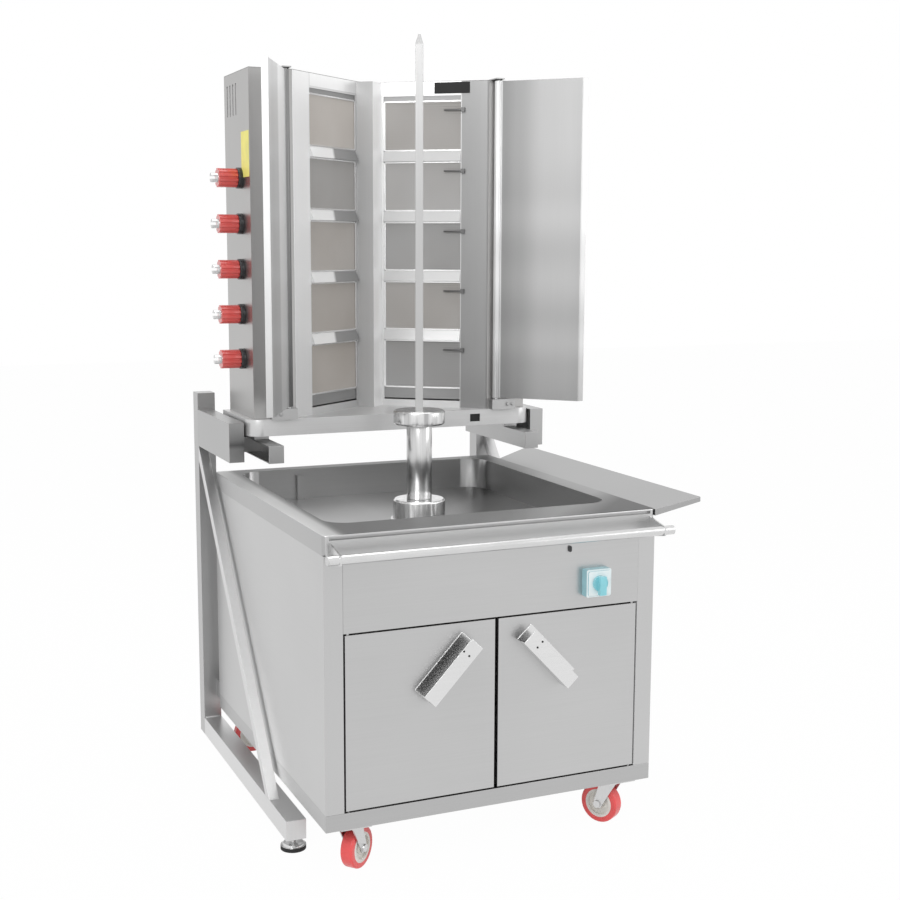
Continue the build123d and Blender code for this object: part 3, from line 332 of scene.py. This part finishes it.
# Materials of one tone
steel_front = brushed("steel_front", tone(197), "X")
steel_side = brushed("steel_side", tone(199), "Y")
steel_upright = brushed("steel_upright", tone(184), "Z")
# Painted light: the cabinet's inner faces are pale
inside_painted_light = brushed("inside_painted_light", tone(214), "Z", metal=0.2)
steel_pan = brushed("steel_pan", tone(186), "X")
steel_rim_side = brushed("steel_rim_side", tone(183), "Y")
steel_brace = brushed("steel_brace", tone(216), "Z")
steel_arm = brushed("steel_arm", tone(178), "Y")
steel_dark = brushed("steel_dark", tone(112), "X")
steel_heater = brushed("steel_heater", tone(179, 0.01), "Z")
back_steel = brushed("back_steel", tone(158), "X", metal=0.5)
louvre_steel = brushed("louvre_steel", tone(205), "Z", metal=0.3)
steel_deck = brushed("steel_deck", tone(214), "X", metal=0.4)
steel_shelf = brushed("steel_shelf", tone(172), "Y")
steel_lip = brushed("steel_lip", tone(202), "X")
steel_handle = brushed("steel_handle", tone(226), "X", rough=0.22)
steel_basin = brushed("steel_basin", tone(172), "X", rough=0.30, cloud=0.14)
bar_steel = brushed("bar_steel", tone(190), "Z", rough=0.30, cloud=0.03)
zinc = brushed("zinc", tone(216), "Z", rough=0.36, cloud=0.10)
burner_steel = brushed("burner_steel", tone(165, 0.02), "Z", rough=0.45, cloud=0.15)
# Painted reflection bands along the axis of these two polished metals
collar_reflection_bands = polished("collar_reflection_bands", tone(244), rough=0.18, stretch=reflection_band_stretch, scale=1.0, dark=0.82)
chrome = polished("chrome", tone(222), rough=0.20, stretch=reflection_band_stretch, scale=1.0, dark=0.62)
rail_steel = polished("rail_steel", tone(216), rough=0.24)
steel_bright = polished("steel_bright", grey(0.90), rough=0.24)
brass = polished("brass", (0.58, 0.44, 0.20), rough=0.25)
motor_paint = moulded("motor_paint", (0.16, 0.18, 0.20), rough=0.45)
black_plastic = moulded("black_plastic", (0.016, 0.016, 0.018), rough=0.32, coat=0.2)
black_rubber = moulded("black_rubber", (0.02, 0.02, 0.02), rough=0.75)
tap_red = moulded("tap_red", (0.72, 0.10, 0.09), rough=0.24, coat=0.6)
red_tyre = moulded("red_tyre", (0.90, 0.10, 0.10), rough=0.36, coat=0.2)
wheel_cream = moulded("wheel_cream", (0.86, 0.84, 0.79), rough=0.45)
switch_pale = moulded("switch_pale", (0.88, 0.955, 0.97), rough=0.30, coat=0.3)
switch_edge = moulded("switch_edge", (0.30, 0.56, 0.62), rough=0.30, coat=0.3)
switch_blue = moulded("switch_blue", (0.26, 0.66, 0.74), rough=0.28, coat=0.4)
label_yellow = moulded("label_yellow", (0.93, 0.86, 0.22), rough=0.45, grain_size=300.0, bump=0.05)

# Ceramics, with the level and warmth of each row from the bottom up
plaque_left = ceramic("plaque_left", -1, [
    kiln(156, 0.07), kiln(157, 0.06), kiln(160, 0.05), kiln(148, 0.02), kiln(168, 0.06)])
plaque_right = ceramic("plaque_right", 1, [
    kiln(151, 0.0), kiln(159, 0.03), kiln(152, 0.0), kiln(163, 0.01), kiln(159, 0.03)])

# Sheets with painted light and shade, whose tone changes with the distance in metres from an origin along a
# direction
from_spit = ((spit_x, 0, 0), rightwards)
from_basin_left = ((basin_low.x, 0, 0), rightwards)
# Painted shade on the basin's floor: light on its left part, darker towards the right
basin_floor_painted_shade = graded("basin_floor_painted_shade", [(*from_basin_left, [
    (0.0, tone(206)), (0.36, tone(206)), (0.5, tone(170)), (0.86, tone(160))])],
    grain="X", cloud=0.12)
# Painted highlight on the right half of the centre post's flat front, grey on its left
centre_painted_highlight = graded("centre_painted_highlight", [(*from_spit, [
    (-0.04, tone(186)), (-0.001, tone(192)), (0.001, grey(0.99)), (0.04, grey(0.97))])],
    metal=0.2)
# Painted light and shade on the shields: white at the far left, dark left of the spit, light to its right
shield_painted_light = graded("shield_painted_light", [(*from_spit, [
    (-window_reach, grey(1.0)), (-0.135, grey(1.0)), (-0.125, tone(160)), (-middle_half, tone(142)),
    (middle_half, tone(206)), (window_reach, tone(216))])],
    grain="X", rough=0.2, cloud=0.0, metal=0.25)
# Painted highlights and painted shade along each wind door and up its height, darker towards the bottom
leaf_left_painted_light = painted_leaf_material(
    -1,
    [(-0.03, tone(130)), (0.009, tone(138)), (0.013, grey(1.0)), (0.10, grey(0.98)), (0.125, tone(218)),
     (0.19, tone(212)), (0.23, tone(220)), (0.24, grey(1.0)), (0.27, grey(1.0))],
    [(0.0, grey(0.62)), (0.25, grey(0.74)), (0.5, grey(0.86)), (0.9, grey(1.0))],
    metal=0.3)
leaf_right_painted_light = painted_leaf_material(
    1,
    [(-0.03, tone(252)), (0.010, tone(250)), (0.014, tone(162)), (0.06, tone(175)), (0.13, tone(197)),
     (0.20, tone(196)), (0.235, tone(192)), (0.242, tone(222)), (0.27, tone(222))],
    [(0.0, grey(0.74)), (0.12, grey(0.80)), (0.19, grey(0.92)), (0.26, grey(0.82)), (0.36, grey(0.96)),
     (0.44, grey(0.88)), (0.53, grey(1.0)), (0.60, grey(0.92)), (0.70, grey(0.95)), (0.9, grey(0.88))],
    metal=0.5)

# Painted light and shade on the rim's top: pale at its left end, and its front band darkens towards its
# right corner
slant = math.sqrt(0.5)
rim_painted_shade = graded("rim_painted_shade", [
    (*from_basin_left, [
        (0.0, tone(228)), (0.032, tone(212)), (0.048, tone(136)), (0.06, tone(112)), (0.2, tone(112)),
        (0.42, tone(130)), (0.66, tone(136)), (0.80, tone(150)), (0.86, tone(160))]),
    ((basin_high.x, basin_low.y, 0), (slant, -slant, 0), [
        (-0.7, grey(1.0)), (-0.20, grey(1.0)), (-0.11, grey(0.22)), (0.0, grey(0.16))])],
    grain="X", rough=0.36, cloud=0.16, metal=0.25, shine=0.15)


def burner_face_material():
    """Burner face sheet with painted light and shade: pale header, bright strips between the windows, a
    bright left wing and a shaded right wing, darker towards the bottom.
    """
    made, tree, shader = start_material("burner_face_painted_light")
    window_edge = window_reach + 0.002
    wings_light_and_shade = grading(tree, *from_spit, [
        (-face_half, tone(250)), (-wing_reach, grey(1.0)), (-window_edge, grey(1.0)),
        (-window_reach, tone(236)), (-middle_half, tone(210)), (middle_half, tone(236)),
        (window_reach, tone(244)), (window_edge, tone(160)), (wing_reach, tone(168)),
        (face_half, tone(176))])
    height = grading(tree, (0, 0, deck_high.z), upwards, [
        (0.0, grey(0.82)), (0.25, grey(0.92)), (0.5, grey(1.0)), (0.9, grey(1.0))])
    lit_and_shaded = multiply(tree, wings_light_and_shade, height)
    inside = grading(tree, *from_spit, [
        (-face_half, grey(0)), (-window_reach, grey(1)), (window_reach, grey(0)), (face_half, grey(0))],
        "CONSTANT")
    above = grading(tree, (0, 0, header_z), upwards, [
        (-0.9, grey(0)), (0.0, grey(1)), (0.1, grey(1))],
        "CONSTANT")
    header = multiply(tree, inside, above)
    joined = add_node(tree, "ShaderNodeMix", {"B": (*grey(0.99), 1)}, data_type="RGBA")
    tree.links.new(header, joined.inputs["Factor"])
    tree.links.new(lit_and_shaded, joined.inputs["A"])
    colour = joined.outputs["Result"]
    steel_nodes(tree, shader, colour, "Z", rough=0.34, spread=0.06, cloud=0.03, streak=0.02)
    tree.links.new(map_range(tree, header, (0.0, 1.0), (0.35, 1.0)), shader.inputs["Metallic"])
    return made


burner_face_painted_light = burner_face_material()


def paint(node, material):
    """One material all over a CAD node."""
    mesh = nodes[node].data
    mesh.materials.clear()
    mesh.materials.append(material)
    for face in mesh.polygons:
        face.material_index = 0


def paint_where(node, material, test):
    """Another material on the faces of a CAD node whose centre and normal pass a test."""
    mesh = nodes[node].data
    mesh.materials.append(material)
    index = len(mesh.materials) - 1
    for face in mesh.polygons:
        if test(face.center, face.normal):
            face.material_index = index


# Materials of the CAD nodes
finish = {
    steel_front: ["control_fascia", "door_left", "door_right"],
    steel_handle: ["door_handle_left", "door_handle_right"],
    steel_side: ["cabinet_shell"],
    steel_pan: ["floor_pan"],
    steel_shelf: ["side_shelf"],
    steel_upright: ["frame_posts", "wind_hinges", "frame_cross_tubes"],
    steel_brace: ["frame_foot_tubes", "frame_braces"],
    steel_arm: ["slide_arms", "slide_beams"],
    leaf_left_painted_light: ["wind_door_left"],
    leaf_right_painted_light: ["wind_door_right"],
    steel_heater: ["heater_shell", "heater_top"],
    steel_deck: ["heater_deck"],
    centre_painted_highlight: ["centre_post"],
    burner_face_painted_light: ["burner_frames"],
    steel_basin: ["basin_top"],
    bar_steel: ["spit_bar", "drive_shaft", "door_pins"],
    steel_dark: ["igniter_rods"],
    chrome: ["spit_tube", "spit_flange"],
    collar_reflection_bands: ["shaft_housing"],
    rail_steel: ["front_rail"],
    zinc: ["castor_plates"],
    burner_steel: ["burner_boxes"],
    brass: ["gas_pipes"],
    motor_paint: ["gearmotor"],
    black_plastic: ["indicator_lamp", "tap_bezels"],
    black_rubber: ["badge_plate"],
    switch_edge: ["switch_box"],
    switch_blue: ["switch_knob"],
    plaque_left: ["burner_plaques"],
}
for material, names in finish.items():
    for name in names:
        paint(name, material)
for corner in ("front_left", "front_right", "rear_left", "rear_right"):
    paint("castor_fork_" + corner, zinc)
    paint("castor_hub_" + corner, wheel_cream)
    paint("castor_tyre_" + corner, red_tyre)
tap_tip_length = 0.0168
for tap in range(1, rows + 1):
    knob = "tap_knob_%d" % tap
    paint(knob, tap_red)
    tip_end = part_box(knob)[0].x + tap_tip_length
    paint_where(knob, chrome, lambda centre, normal: centre.x < tip_end)
foot_pad_top = 0.0098
for side in sides:
    foot = "level_foot_" + side_names[side]
    paint(foot, chrome)
    paint_where(foot, black_rubber, lambda centre, normal: centre.z < foot_pad_top)

# Basin: how far its rim, lip and walls reach, and how straight a face has to look
rim_side = 0.054
rim_ends = 0.03
rim_thick = 0.006
lip_height = 0.047
lip_thick = 0.002
floor_thick = 0.004
facing = 0.7
basin_floor_z = min(face.center.z for face in nodes["basin_top"].data.polygons)


def on_rim(centre, normal):
    """Faces of the rim, its lip and the fold, and not the walls of the basin."""
    in_opening = basin_low.x + rim_side < centre.x < basin_high.x - rim_side and abs(normal.z) < 0.5
    on_wall = in_opening and basin_low.y + rim_ends < centre.y < basin_high.y - rim_ends
    return centre.z > basin_high.z - lip_height and not on_wall


def on_rim_top(centre, normal):
    """Faces on top of the rim."""
    return centre.z > basin_high.z - rim_thick and normal.z > facing


def on_lip(centre, normal):
    """Faces on the front of the rim's lip."""
    return centre.y < basin_low.y + lip_thick and normal.y < -facing


def on_floor(centre, normal):
    """Faces of the basin's floor."""
    return centre.z < basin_floor_z + floor_thick and normal.z > facing


paint_where("basin_top", steel_rim_side, on_rim)
paint_where("basin_top", rim_painted_shade, on_rim_top)
paint_where("basin_top", steel_lip, on_lip)
paint_where("basin_top", basin_floor_painted_shade, on_floor)

# Painted light on the cabinet's inner faces, so that the room behind open doors can be seen
inside_edge = 0.001
paint_where("cabinet_shell", inside_painted_light, lambda centre, normal: (
    cabinet_low.x + inside_edge < centre.x < cabinet_high.x - inside_edge
    and cabinet_low.y + inside_edge < centre.y < cabinet_high.y - inside_edge))

# Shields between the burner rows, with painted light and shade, and the right column's ceramics
shields_above_deck = 0.1
paint_where("burner_frames", shield_painted_light, lambda centre, normal: (
    abs(normal.z) > 0.3 and deck_high.z + shields_above_deck < centre.z < header_z))
paint_where("burner_plaques", plaque_right, lambda centre, normal: centre.x > spit_x)

# Painted shadow of the deck on the left arm's end
arms_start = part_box("slide_arms")[0]
arm_end_painted_shadow = graded("arm_end_painted_shadow", [((0, 0, arms_start.z), upwards, [
    (0.0, tone(152)), (0.035, tone(140)), (0.046, tone(100)), (0.06, tone(132)), (0.102, tone(160))])])
paint_where("slide_arms", arm_end_painted_shadow, lambda centre, normal: (
    centre.x < spit_x and centre.y < arms_start.y + 0.001))

# Painted shade on the insides of the door handles, darker towards the doors
handle_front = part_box("door_handle_left")[0].y
door_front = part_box("door_left")[0].y
handle_margin = 0.0015
handle_inside_painted_shade = graded("handle_inside_painted_shade", [((0, handle_front, 0), backwards, [
    (0.0, tone(214)), (0.014, tone(206)), (0.020, tone(112)), (0.04, tone(92))])],
    grain="X", metal=0.4)
for side in sides:
    paint_where("door_handle_" + side_names[side], handle_inside_painted_shade, lambda centre, normal: (
        handle_front + handle_margin < centre.y < door_front - handle_margin and normal.z > 0.5))

# The switch's pale front
paint_where("switch_box", switch_pale, lambda centre, normal: normal.y < -facing)

edge_width = 0.0008
edge_segments = 2
edge_angle = math.radians(40)
weld_reach = 0.00001


def soften(node):
    """Small bright edges, as folded or deburred metal has them."""
    obj = nodes[node]
    weld = obj.modifiers.new("weld", "WELD")
    weld.merge_threshold = weld_reach
    bevel = obj.modifiers.new("edge", "BEVEL")
    bevel.width = edge_width
    bevel.segments = edge_segments
    bevel.limit_method = "ANGLE"
    bevel.angle_limit = edge_angle
    bevel.use_clamp_overlap = True
    bevel.harden_normals = True


# Nodes that keep their sharp edges
plain_nodes = (
    "castor_tyre", "castor_hub", "burner_boxes", "burner_plaques", "burner_frames",
    "front_rail", "switch_box", "heater_shell")
for name in nodes:
    if not name.startswith(plain_nodes):
        soften(name)


def new_piece(name, bm, material, body):
    """Object made from a bmesh, riding on a CAD body."""
    mesh = bpy.data.meshes.new(name)
    bmesh.ops.recalc_face_normals(bm, faces=bm.faces)
    bm.to_mesh(mesh)
    bm.free()
    mesh.materials.append(material)
    obj = bpy.data.objects.new(name, mesh)
    bpy.context.scene.collection.objects.link(obj)
    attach(obj, body)


def add_turned(bm, place, axis, profile, corners=24, phase=0.0):
    """Solid of revolution from (radius, height) pairs, standing on a place along an axis."""
    turn = Vector(upwards).rotation_difference(Vector(axis)).to_matrix().to_4x4()
    matrix = Matrix.Translation(place) @ turn
    rings = []
    for radius, height in profile:
        ring = []
        for step in range(corners):
            angle = phase + math.tau * step / corners
            point = Vector((radius * math.cos(angle), radius * math.sin(angle), height))
            ring.append(bm.verts.new(matrix @ point))
        rings.append(ring)
    bm.faces.new(list(reversed(rings[0])))
    bm.faces.new(rings[-1])
    for low, high in zip(rings, rings[1:]):
        for step in range(corners):
            after = (step + 1) % corners
            bm.faces.new((low[step], low[after], high[after], high[step]))


def add_bolt(bm, place, axis, size):
    """Hex head on a washer; size is the head's corner radius."""
    washer = [(size * 1.3, 0.0), (size * 1.35, size * 0.12), (size * 1.25, size * 0.22)]
    add_turned(bm, place, axis, washer)
    head_place = Vector(place) + Vector(axis) * size * 0.2
    head = [(size, 0.0), (size, size * 0.6), (size * 0.86, size * 0.75), (size * 0.5, size * 0.78)]
    add_turned(bm, head_place, axis, head, 6, random.uniform(0, 1))


def add_button(bm, place, axis, size):
    """Low domed screw head with a flat rim."""
    profile = [(size, 0.0), (size, size * 0.2), (size * 0.8, size * 0.45), (size * 0.35, size * 0.6)]
    add_turned(bm, place, axis, profile, 16)


def add_slab(bm, origin, spans, edge=0.0):
    """Thin bar spanned by three vectors, with its long edges cut back a little."""
    a, b, c = (Vector(span) for span in spans)
    origin = Vector(origin)
    if edge == 0.0:
        section = [Vector((0, 0, 0)), b, b + c, c]
    else:
        cut_b = b.normalized() * edge
        cut_c = c.normalized() * edge
        section = [cut_b, b - cut_b, b + cut_c, b + c - cut_c, b + c - cut_b, c + cut_b, c - cut_c, cut_c]
    near = [bm.verts.new(origin + point) for point in section]
    far = [bm.verts.new(origin + a + point) for point in section]
    bm.faces.new(near)
    bm.faces.new(list(reversed(far)))
    for step in range(len(section)):
        after = (step + 1) % len(section)
        bm.faces.new((near[after], near[step], far[step], far[after]))


# Weld ripples: their step as a share of the radius, their swell, and how a bead closes at its ends
fewest_ripples = 6
ripple_step = 0.45
swell_mean = 0.84
swell_range = 0.16
swell_turn = 0.9
swell_scatter = 0.03
closing_start = 0.25
closing_rate = 3.5


def add_weld(bm, start, end, radius):
    """Run of overlapping weld ripples between two points."""
    start, end = Vector(start), Vector(end)
    length = (end - start).length
    count = max(fewest_ripples, int(length / (radius * ripple_step)))
    profile = []
    for step in range(count + 1):
        share = step / count
        swell = swell_mean + swell_range * abs(math.sin(share * count * swell_turn))
        swell += random.uniform(-swell_scatter, swell_scatter)
        closing = min(1.0, closing_rate * math.sqrt(share * (1 - share)) + closing_start)
        profile.append((radius * swell * closing, share * length))
    add_turned(bm, start, (end - start).normalized(), profile, 10)


# Yellow label, bare, on the left side of the heater
label_width = 0.072
label_height = 0.116
label_z = 1.616
label_from_front = 0.006
label_thickness = 0.0006


def make_label():
    """Thin plain label."""
    bm = bmesh.new()
    origin = (shell_low.x - label_thickness, shell_low.y + label_from_front, label_z)
    add_slab(bm, origin, ((0, 0, label_height), (0, label_width, 0), (2 * label_thickness, 0, 0)))
    new_piece("label_blank", bm, label_yellow, "heater_carriage")


make_label()


def facet_point(side, u, out, z):
    """Point on one burner face: u outwards along it, out in front of it."""
    along = Vector((side * math.cos(facet_turn), -math.sin(facet_turn), 0))
    front = Vector((-side * math.sin(facet_turn), -math.cos(facet_turn), 0))
    start = Vector((spit_x + side * middle_half, spit_y + face_depth, z))
    return start + along * u + front * out


def facet_axes(side):
    """Unit vectors outwards along one burner face and out in front of it."""
    start = facet_point(side, 0, 0, 0)
    return facet_point(side, 1, 0, 0) - start, facet_point(side, 0, 1, 0) - start


# Window trims
trim_high = 0.004
trim_out = 0.0016
trim_gap = 0.0005
trim_sunk = 0.0005
trim_edge = 0.0005
jamb_lap = 0.001
jamb_wide = 0.006


def make_window_trims():
    """Folded bright edges above and below every burner window, and jambs at its inner end."""
    bm = bmesh.new()
    for side in sides:
        along, front = facet_axes(side)
        for row in range(rows):
            low = plaque_low.z + row * row_pitch
            for z in (low - trim_high - trim_gap, low + row_height + trim_gap):
                start = facet_point(side, window_near, -trim_sunk, z)
                size = (along * (window_far - window_near), (0, 0, trim_high), front * trim_out)
                add_slab(bm, start, size, trim_edge)
            jamb = facet_point(side, window_near - jamb_lap, -trim_sunk, low - trim_high)
            jamb_size = ((0, 0, row_height + 2 * trim_high), along * jamb_wide, front * trim_out)
            add_slab(bm, jamb, jamb_size, trim_edge)
    new_piece("window_trims", bm, steel_bright, "heater_carriage")


make_window_trims()

# Strips behind the windows
strip_gap = 0.003
strip_below = 0.034
strip_above = 0.022
strip_lap = 0.004
strip_sunk = 0.0045
strip_sheet = 0.0015


def make_window_backs():
    """Strips behind the windows that close the gaps below the lowest and above the highest plaque."""
    bm = bmesh.new()
    bands = (
        (plaque_low.z - strip_below, plaque_low.z - strip_gap),
        (plaque_high.z + strip_gap, plaque_high.z + strip_above),
    )
    for side in sides:
        along, front = facet_axes(side)
        length = window_far - window_near + 2 * strip_lap
        for low, high in bands:
            start = facet_point(side, window_near - strip_lap, -strip_sunk, low)
            add_slab(bm, start, (along * length, (0, 0, high - low), front * strip_sheet))
    new_piece("window_backs", bm, back_steel, "heater_carriage")


make_window_backs()

# Small gap that keeps a piece off the face that it stands on, and the cut on the edges of thin plates
touch = 0.0001
thin_edge = 0.0003

bolt_reaches = (0.328, 0.343)
bolt_height = 0.014
bolt_size = 0.0045


def make_hinge_bolts():
    """Bolts on the front of the lower hinge blocks."""
    bm = bmesh.new()
    for side in sides:
        for reach in bolt_reaches:
            place = (spit_x + side * reach, hinges_low.y - touch, hinges_low.z + bolt_height)
            add_bolt(bm, place, (0, -1, 0), bolt_size)
    new_piece("hinge_bolts", bm, steel_arm, "heater_carriage")


make_hinge_bolts()

cap_profile = [(0.0105, -0.0045), (0.0105, -0.001), (0.009, -0.0002), (0.003, 0.0)]


def make_hinge_caps():
    """Dark end caps on the upper hinge straps."""
    bm = bmesh.new()
    for side in sides:
        hinge = leaf_hinge[side]
        add_turned(bm, (hinge.x, hinge.y, hinges_high.z + touch), upwards, cap_profile)
    new_piece("hinge_caps", bm, black_rubber, "heater_carriage")


make_hinge_caps()

baffle_from_back = 0.150
baffle_from_top = 0.140
baffle_length = 0.145
baffle_height = 0.110
baffle_sheet = 0.0015
baffle_inset = 0.0018


def make_louvre_plates():
    """Baffles close behind the air slots in both sides of the casing."""
    bm = bmesh.new()
    y = shell_high.y - baffle_from_back
    z = shell_high.z - baffle_from_top
    size = ((0, 0, baffle_height), (0, baffle_length, 0), (baffle_sheet, 0, 0))
    for x in (shell_low.x + baffle_inset, shell_high.x - baffle_inset - baffle_sheet):
        add_slab(bm, (x, y, z), size, thin_edge)
    new_piece("louvre_plates", bm, louvre_steel, "heater_carriage")


make_louvre_plates()

plug_reach = 0.236
plug_width = 0.036
plug_height = 0.030
plug_sheet = 0.002
plug_inset = 0.003
plug_bottom = 0.006


def make_deck_plugs():
    """Dark plugs behind the slots in the front of the deck."""
    bm = bmesh.new()
    for side in sides:
        x = spit_x + side * plug_reach - plug_width / 2
        place = (x, deck_low.y + plug_inset, deck_low.z + plug_bottom)
        add_slab(bm, place, ((plug_width, 0, 0), (0, plug_sheet, 0), (0, 0, plug_height)), thin_edge)
    new_piece("deck_plugs", bm, black_rubber, "heater_carriage")


make_deck_plugs()

handle_lean = math.radians(46.5)
screw_from_middle = 0.052
screw_offset = 0.009
screw_size = 0.0026


def make_handle_screws():
    """Two small dark screws near the upper end of each door handle's front."""
    for side in sides:
        name = side_names[side]
        low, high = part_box("door_handle_" + name)
        middle = (low + high) / 2
        bm = bmesh.new()
        along = Vector((-side * math.cos(handle_lean), 0, math.sin(handle_lean)))
        over = Vector((side * math.sin(handle_lean), 0, math.cos(handle_lean)))
        for offset in (-screw_offset, screw_offset):
            place = Vector((middle.x, low.y - touch, middle.z)) + along * screw_from_middle + over * offset
            add_button(bm, place, (0, -1, 0), screw_size)
        new_piece("handle_screws_" + name, bm, black_rubber, "cabinet_door_" + name)


make_handle_screws()

rail_radius = 0.011
rail_below_top = 0.025
rail_end_profile = [(0.0102, -0.002), (0.0108, 0.0004), (0.0108, 0.002), (0.0088, 0.0036), (0.004, 0.0046)]


def make_rail_ends():
    """Domed plugs in the ends of the front rail."""
    low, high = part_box("front_rail")
    y = low.y + rail_radius
    z = high.z - rail_below_top
    bm = bmesh.new()
    for x, axis in ((low.x, -1), (high.x, 1)):
        add_turned(bm, (x, y, z), (axis, 0, 0), rail_end_profile)
    new_piece("rail_ends", bm, zinc, "base")


make_rail_ends()

# Weld beads: radii, and places measured from the tubes' edges
bead_thin = 0.0016
bead = 0.0018
bead_front = 0.0022
bead_top = 0.0024
bead_stand = 0.0006
bead_sunk = 0.0004
weld_inset = 0.0012
brace_weld_width = 0.0236
brace_weld_run = 0.034
foot_weld_start = 0.003
foot_weld_end = 0.045
weld_start = 0.002
arm_weld_inset = 0.002
arm_weld_top = 0.102


def make_frame_welds():
    """Weld beads where the tubes of the rear frame meet."""
    bm = bmesh.new()
    posts_low, posts_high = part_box("frame_posts")
    feet_low, feet_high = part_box("frame_foot_tubes")
    brace_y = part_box("frame_braces")[0].y
    arms_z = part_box("slide_arms")[0].z
    top = feet_high.z + bead_stand
    joint_y = feet_high.y - bead_sunk
    for side in sides:
        outer = (posts_low if side < 0 else posts_high).x - side * weld_inset
        inner = outer - side * brace_weld_width
        front_y = brace_y - bead_stand
        arm_x = outer - side * arm_weld_inset
        foot_start = outer - side * foot_weld_start
        foot_end = outer - side * foot_weld_end
        for x in (outer, inner):
            add_weld(bm, (x, brace_y, top), (x, brace_y + brace_weld_run, top), bead)
        runs = (
            ((outer, front_y, top), (inner, front_y, top), bead_front),
            ((outer, joint_y, feet_low.z + weld_start), (outer, joint_y, feet_high.z), bead),
            ((foot_start, joint_y, top), (foot_end, joint_y, top), bead_top),
            ((arm_x, joint_y, arms_z + weld_start), (arm_x, joint_y, arms_z + arm_weld_top), bead_thin),
        )
        for start, end, radius in runs:
            add_weld(bm, start, end, radius)
    new_piece("frame_welds", bm, zinc, "base")


make_frame_welds()


# Camera
def make_camera():
    """Camera at the photograph's place."""
    data = bpy.data.cameras.new("camera")
    data.lens = camera_lens
    data.sensor_width = sensor_width
    data.clip_end = camera_reach
    obj = bpy.data.objects.new("camera", data)
    bpy.context.scene.collection.objects.link(obj)
    forward = Vector((
        math.sin(camera_heading) * math.cos(camera_tilt),
        math.cos(camera_heading) * math.cos(camera_tilt),
        -math.sin(camera_tilt),
    ))
    right = Vector((math.cos(camera_heading), -math.sin(camera_heading), 0))
    up = right.cross(forward)
    rolled_right = right * math.cos(camera_roll) + up * math.sin(camera_roll)
    rolled_up = up * math.cos(camera_roll) - right * math.sin(camera_roll)
    turn = Matrix((rolled_right, rolled_up, -forward)).transposed().to_4x4()
    obj.matrix_world = Matrix.Translation(Vector((spit_x, spit_y, 0)) + camera_from_spit) @ turn
    bpy.context.scene.camera = obj


make_camera()

# Studio: light from the world, and the share of the floor that shows as pure white
ambient = 0.55
floor_white = 0.98
floor_size = 14.0
floor_colour = (*grey(0.92), 1)
floor_rough = 0.95
white = (*grey(1), 1)


def see_background(tree):
    """Output that is 1 for camera, glossy and transmission rays."""
    path = add_node(tree, "ShaderNodeLightPath")
    first = add_node(tree, "ShaderNodeMath", operation="MAXIMUM")
    second = add_node(tree, "ShaderNodeMath", operation="MAXIMUM")
    tree.links.new(path.outputs["Is Camera Ray"], first.inputs[0])
    tree.links.new(path.outputs["Is Glossy Ray"], first.inputs[1])
    tree.links.new(first.outputs[0], second.inputs[0])
    tree.links.new(path.outputs["Is Transmission Ray"], second.inputs[1])
    return second.outputs[0]


def mix_shaders(tree, share, first, second, output):
    """Two shaders mixed by a share into an output node."""
    mix = add_node(tree, "ShaderNodeMixShader")
    tree.links.new(share, mix.inputs[0])
    tree.links.new(first.outputs[0], mix.inputs[1])
    tree.links.new(second.outputs[0], mix.inputs[2])
    tree.links.new(mix.outputs[0], output.inputs[0])


def make_world():
    """White for the camera and in reflections, softer as light."""
    world = bpy.data.worlds.new("studio")
    bpy.context.scene.world = world
    world.use_nodes = True
    tree = world.node_tree
    tree.nodes.clear()
    output = add_node(tree, "ShaderNodeOutputWorld")
    light = add_node(tree, "ShaderNodeBackground", {"Color": white, "Strength": ambient})
    seen = add_node(tree, "ShaderNodeBackground", {"Color": white, "Strength": 1.0})
    mix_shaders(tree, see_background(tree), light, seen, output)


def make_floor():
    """Pale floor that keeps a trace of the shadow."""
    material, tree, shader = start_material("studio_floor")
    shader.inputs["Base Color"].default_value = floor_colour
    shader.inputs["Roughness"].default_value = floor_rough
    glow = add_node(tree, "ShaderNodeEmission", {"Color": white, "Strength": 1.0})
    share = add_node(tree, "ShaderNodeMath", {1: floor_white}, operation="MULTIPLY")
    tree.links.new(see_background(tree), share.inputs[0])
    mix_shaders(tree, share.outputs[0], shader, glow, tree.nodes["Material Output"])
    bm = bmesh.new()
    bmesh.ops.create_grid(bm, x_segments=1, y_segments=1, size=floor_size)
    mesh = bpy.data.meshes.new("studio_floor")
    bm.to_mesh(mesh)
    bm.free()
    mesh.materials.append(material)
    obj = bpy.data.objects.new("studio_floor", mesh)
    bpy.context.scene.collection.objects.link(obj)


# Soft square lamps aimed at the middle of the grill: place, size and power
lamp_target = Vector((0, 0, 1.0))
lamps = {
    "key": ((-3.2, -3.4, 3.6), 2.6, 90),
    "fill": ((3.4, -2.6, 2.4), 2.4, 40),
    "top": ((0.0, 0.5, 4.4), 3.0, 50),
}


def make_lamp(name, place, size, power):
    """Large soft area lamp."""
    data = bpy.data.lights.new(name, "AREA")
    data.shape = "RECTANGLE"
    data.size = size
    data.size_y = size
    data.energy = power
    obj = bpy.data.objects.new(name, data)
    obj.location = place
    obj.rotation_euler = (lamp_target - Vector(place)).to_track_quat("-Z", "Y").to_euler()
    bpy.context.scene.collection.objects.link(obj)


make_world()
make_floor()
for name, settings in lamps.items():
    make_lamp(name, *settings)

bpy.context.scene.view_settings.view_transform = "Standard"
